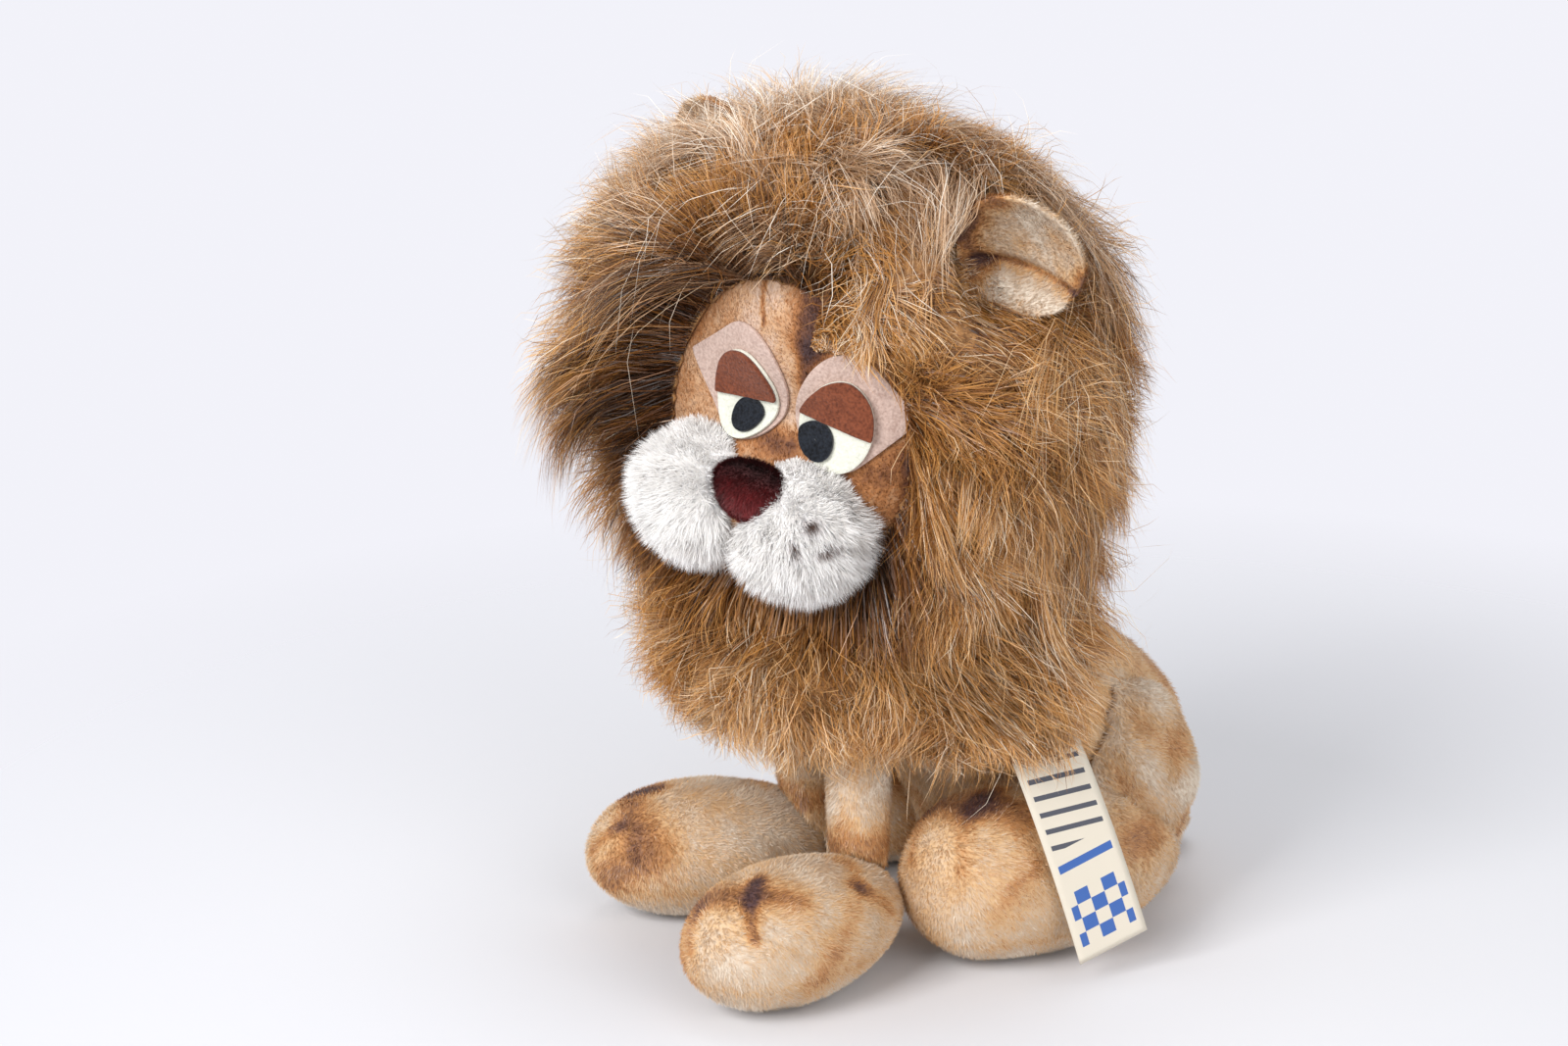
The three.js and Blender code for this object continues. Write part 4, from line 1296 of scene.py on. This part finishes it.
# Tag: a woven ribbon, one inch wide, sewn in under the ruff. It hangs over the left hind paw
# and carries a plain pattern of its own in blue and slate.
tag_width = 25.4
tag_top = np.array([60.4, -53.7, 97.6])
tag_bend = np.array([76.0, -41.6, 55.4])
tag_end = np.array([79.9, -28.6, 11.0])
tag_rows, tag_columns = 48, 12
t = np.linspace(0, 1, tag_rows)[:, None]
middle_line = (1 - t) ** 2 * tag_top + 2 * t * (1 - t) * tag_bend + t**2 * tag_end
cross_way = unit((1 - t) * np.array([-0.06, 0.96, 0.24]) + t * np.array([0.12, 0.93, 0.32]))
share = np.linspace(-0.5, 0.5, tag_columns)[None, :, None]
tag_points = (middle_line[:, None] + cross_way[:, None] * share * tag_width).reshape(-1, 3)
firsts = [row * tag_columns + column for row in range(tag_rows - 1) for column in range(tag_columns - 1)]
tag_faces = [(i, i + 1, i + 1 + tag_columns, i + tag_columns) for i in firsts]
tag_mesh = bpy.data.meshes.new("tag_ribbon")
tag_mesh.from_pydata((tag_points * mm).tolist(), [], tag_faces)
layer = tag_mesh.uv_layers.new(name="weave")
for loop in tag_mesh.loops:
    row, column = divmod(loop.vertex_index, tag_columns)
    layer.data[loop.index].uv = (column / (tag_columns - 1), 1 - row / (tag_rows - 1))
tag = new_piece("tag_ribbon", tag_mesh)
apply_modifier(tag, "SOLIDIFY", thickness=0.35 * mm, offset=0)
tag.data.shade_smooth()
ribbon, tree, shader = new_material("ribbon")
own, across, along = read_uv(tree, "weave")


def both(first, second):
    return add_math(tree, "MULTIPLY", first, second)


def band(value, low, high):
    """1 where a value lies between two limits, else 0."""
    over = add_math(tree, "GREATER_THAN", value, low)
    return both(over, add_math(tree, "LESS_THAN", value, high))


cream_ribbon = colour(232, 222, 204)
blue = colour(62, 104, 178)
slate = colour(84, 86, 96)
stretch = add_node(tree, "Mapping", Scale=(5, 19, 1))
tree.links.new(own, stretch.inputs["Vector"])
blocks = add_node(tree, "TexChecker", Scale=1.0, Color1=(1, 1, 1, 1), Color2=(0, 0, 0, 1))
tree.links.new(stretch.outputs["Vector"], blocks.inputs["Vector"])
chequer = both(blocks.outputs["Fac"], band(along, 0.055, 0.26))
slanted = add_math(tree, "ADD", both(along, 16), across)
bars = both(band(add_math(tree, "FRACT", slanted), 0.0, 0.3), band(along, 0.42, 0.72))
low_line, high_line = band(along, 0.34, 0.37), band(along, 0.77, 0.8)
surface = None
for ink, mask in ((blue, chequer), (slate, bars), (blue, low_line), (blue, high_line)):
    mix = add_node(tree, "MixRGB", Color1=cream_ribbon, Color2=ink)
    tree.links.new(both(mask, band(across, 0.1, 0.9)), mix.inputs["Fac"])
    if surface:
        tree.links.new(surface, mix.inputs["Color1"])
    surface = mix.outputs["Color"]
tree.links.new(surface, shader.inputs["Base Color"])
threads = add_node(tree, "TexWave", Scale=60)
tree.links.new(own, threads.inputs["Vector"])
add_bump(tree, shader, threads.outputs["Fac"], 0.15, 0.4)
set_values(shader, Roughness=0.55)
tag.data.materials.append(ribbon)
join("tag", "ribbon", tag)
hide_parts("tag")

# Floor: a pale sweep that fades into the backdrop away from the lion.
bpy.ops.mesh.primitive_plane_add(size=8, location=(0, 0, 0))
floor = bpy.context.active_object
floor.name = "floor"
sweep, tree, shader = new_material("floor_sweep")
set_values(shader, Base_Color=(0.78, 0.78, 0.81, 1), Roughness=0.9)
place = add_node(tree, "TexCoord")
distance = add_node(tree, "VectorMath")
distance.operation = "LENGTH"
tree.links.new(place.outputs["Object"], distance.inputs[0])
fade_start, fade_end = 0.17, 0.5
fade = add_node(tree, "MapRange", From_Min=fade_start, From_Max=fade_end)
tree.links.new(distance.outputs["Value"], fade.inputs["Value"])
clear_part = add_node(tree, "BsdfTransparent")
blend_part = add_node(tree, "MixShader")
tree.links.new(fade.outputs["Result"], blend_part.inputs["Fac"])
tree.links.new(shader.outputs["BSDF"], blend_part.inputs[1])
tree.links.new(clear_part.outputs["BSDF"], blend_part.inputs[2])
tree.links.new(blend_part.outputs["Shader"], tree.nodes["Material Output"].inputs["Surface"])
floor.data.materials.append(sweep)

# Backdrop and soft studio lights
world = bpy.data.worlds.new("studio")
bpy.context.scene.world = world
world.use_nodes = True
tree = world.node_tree
backdrop = tree.nodes["Background"]
set_values(backdrop, Color=(0.89, 0.89, 0.95, 1))
ambient = add_node(tree, "Background", Color=(0.95, 0.97, 1.0, 1), Strength=0.55)
seen = add_node(tree, "LightPath")
choice = add_node(tree, "MixShader")
tree.links.new(seen.outputs["Is Camera Ray"], choice.inputs["Fac"])
tree.links.new(ambient.outputs["Background"], choice.inputs[1])
tree.links.new(backdrop.outputs["Background"], choice.inputs[2])
tree.links.new(choice.outputs["Shader"], tree.nodes["World Output"].inputs["Surface"])


def look_from(piece, place, target):
    """Puts a light or the camera at a place and aims it at another."""
    piece.location = place
    piece.rotation_euler = (Vector(target) - piece.location).to_track_quat("-Z", "Y").to_euler()


def softbox(name, place, watts, size):
    light = bpy.data.lights.new(name, "AREA")
    light.energy = watts
    light.size = size
    look_from(new_piece(name, light), place, (0, -0.08, 0.12))


softbox("key", (0.45, -1.3, 0.85), 19, 0.7)
softbox("fill", (1.5, -0.1, 0.7), 8, 1.0)
softbox("top", (-0.2, 0.2, 1.6), 5, 0.9)

# Camera at the photograph's angle
camera = new_piece("camera", bpy.data.cameras.new("camera"))
camera.data.lens = 79
camera.data.sensor_width = 36
look_from(camera, (0.916, -0.634, 0.447), (0, -0.105, 0.144))
bpy.context.scene.camera = camera
bpy.context.scene.view_settings.view_transform = "Standard"
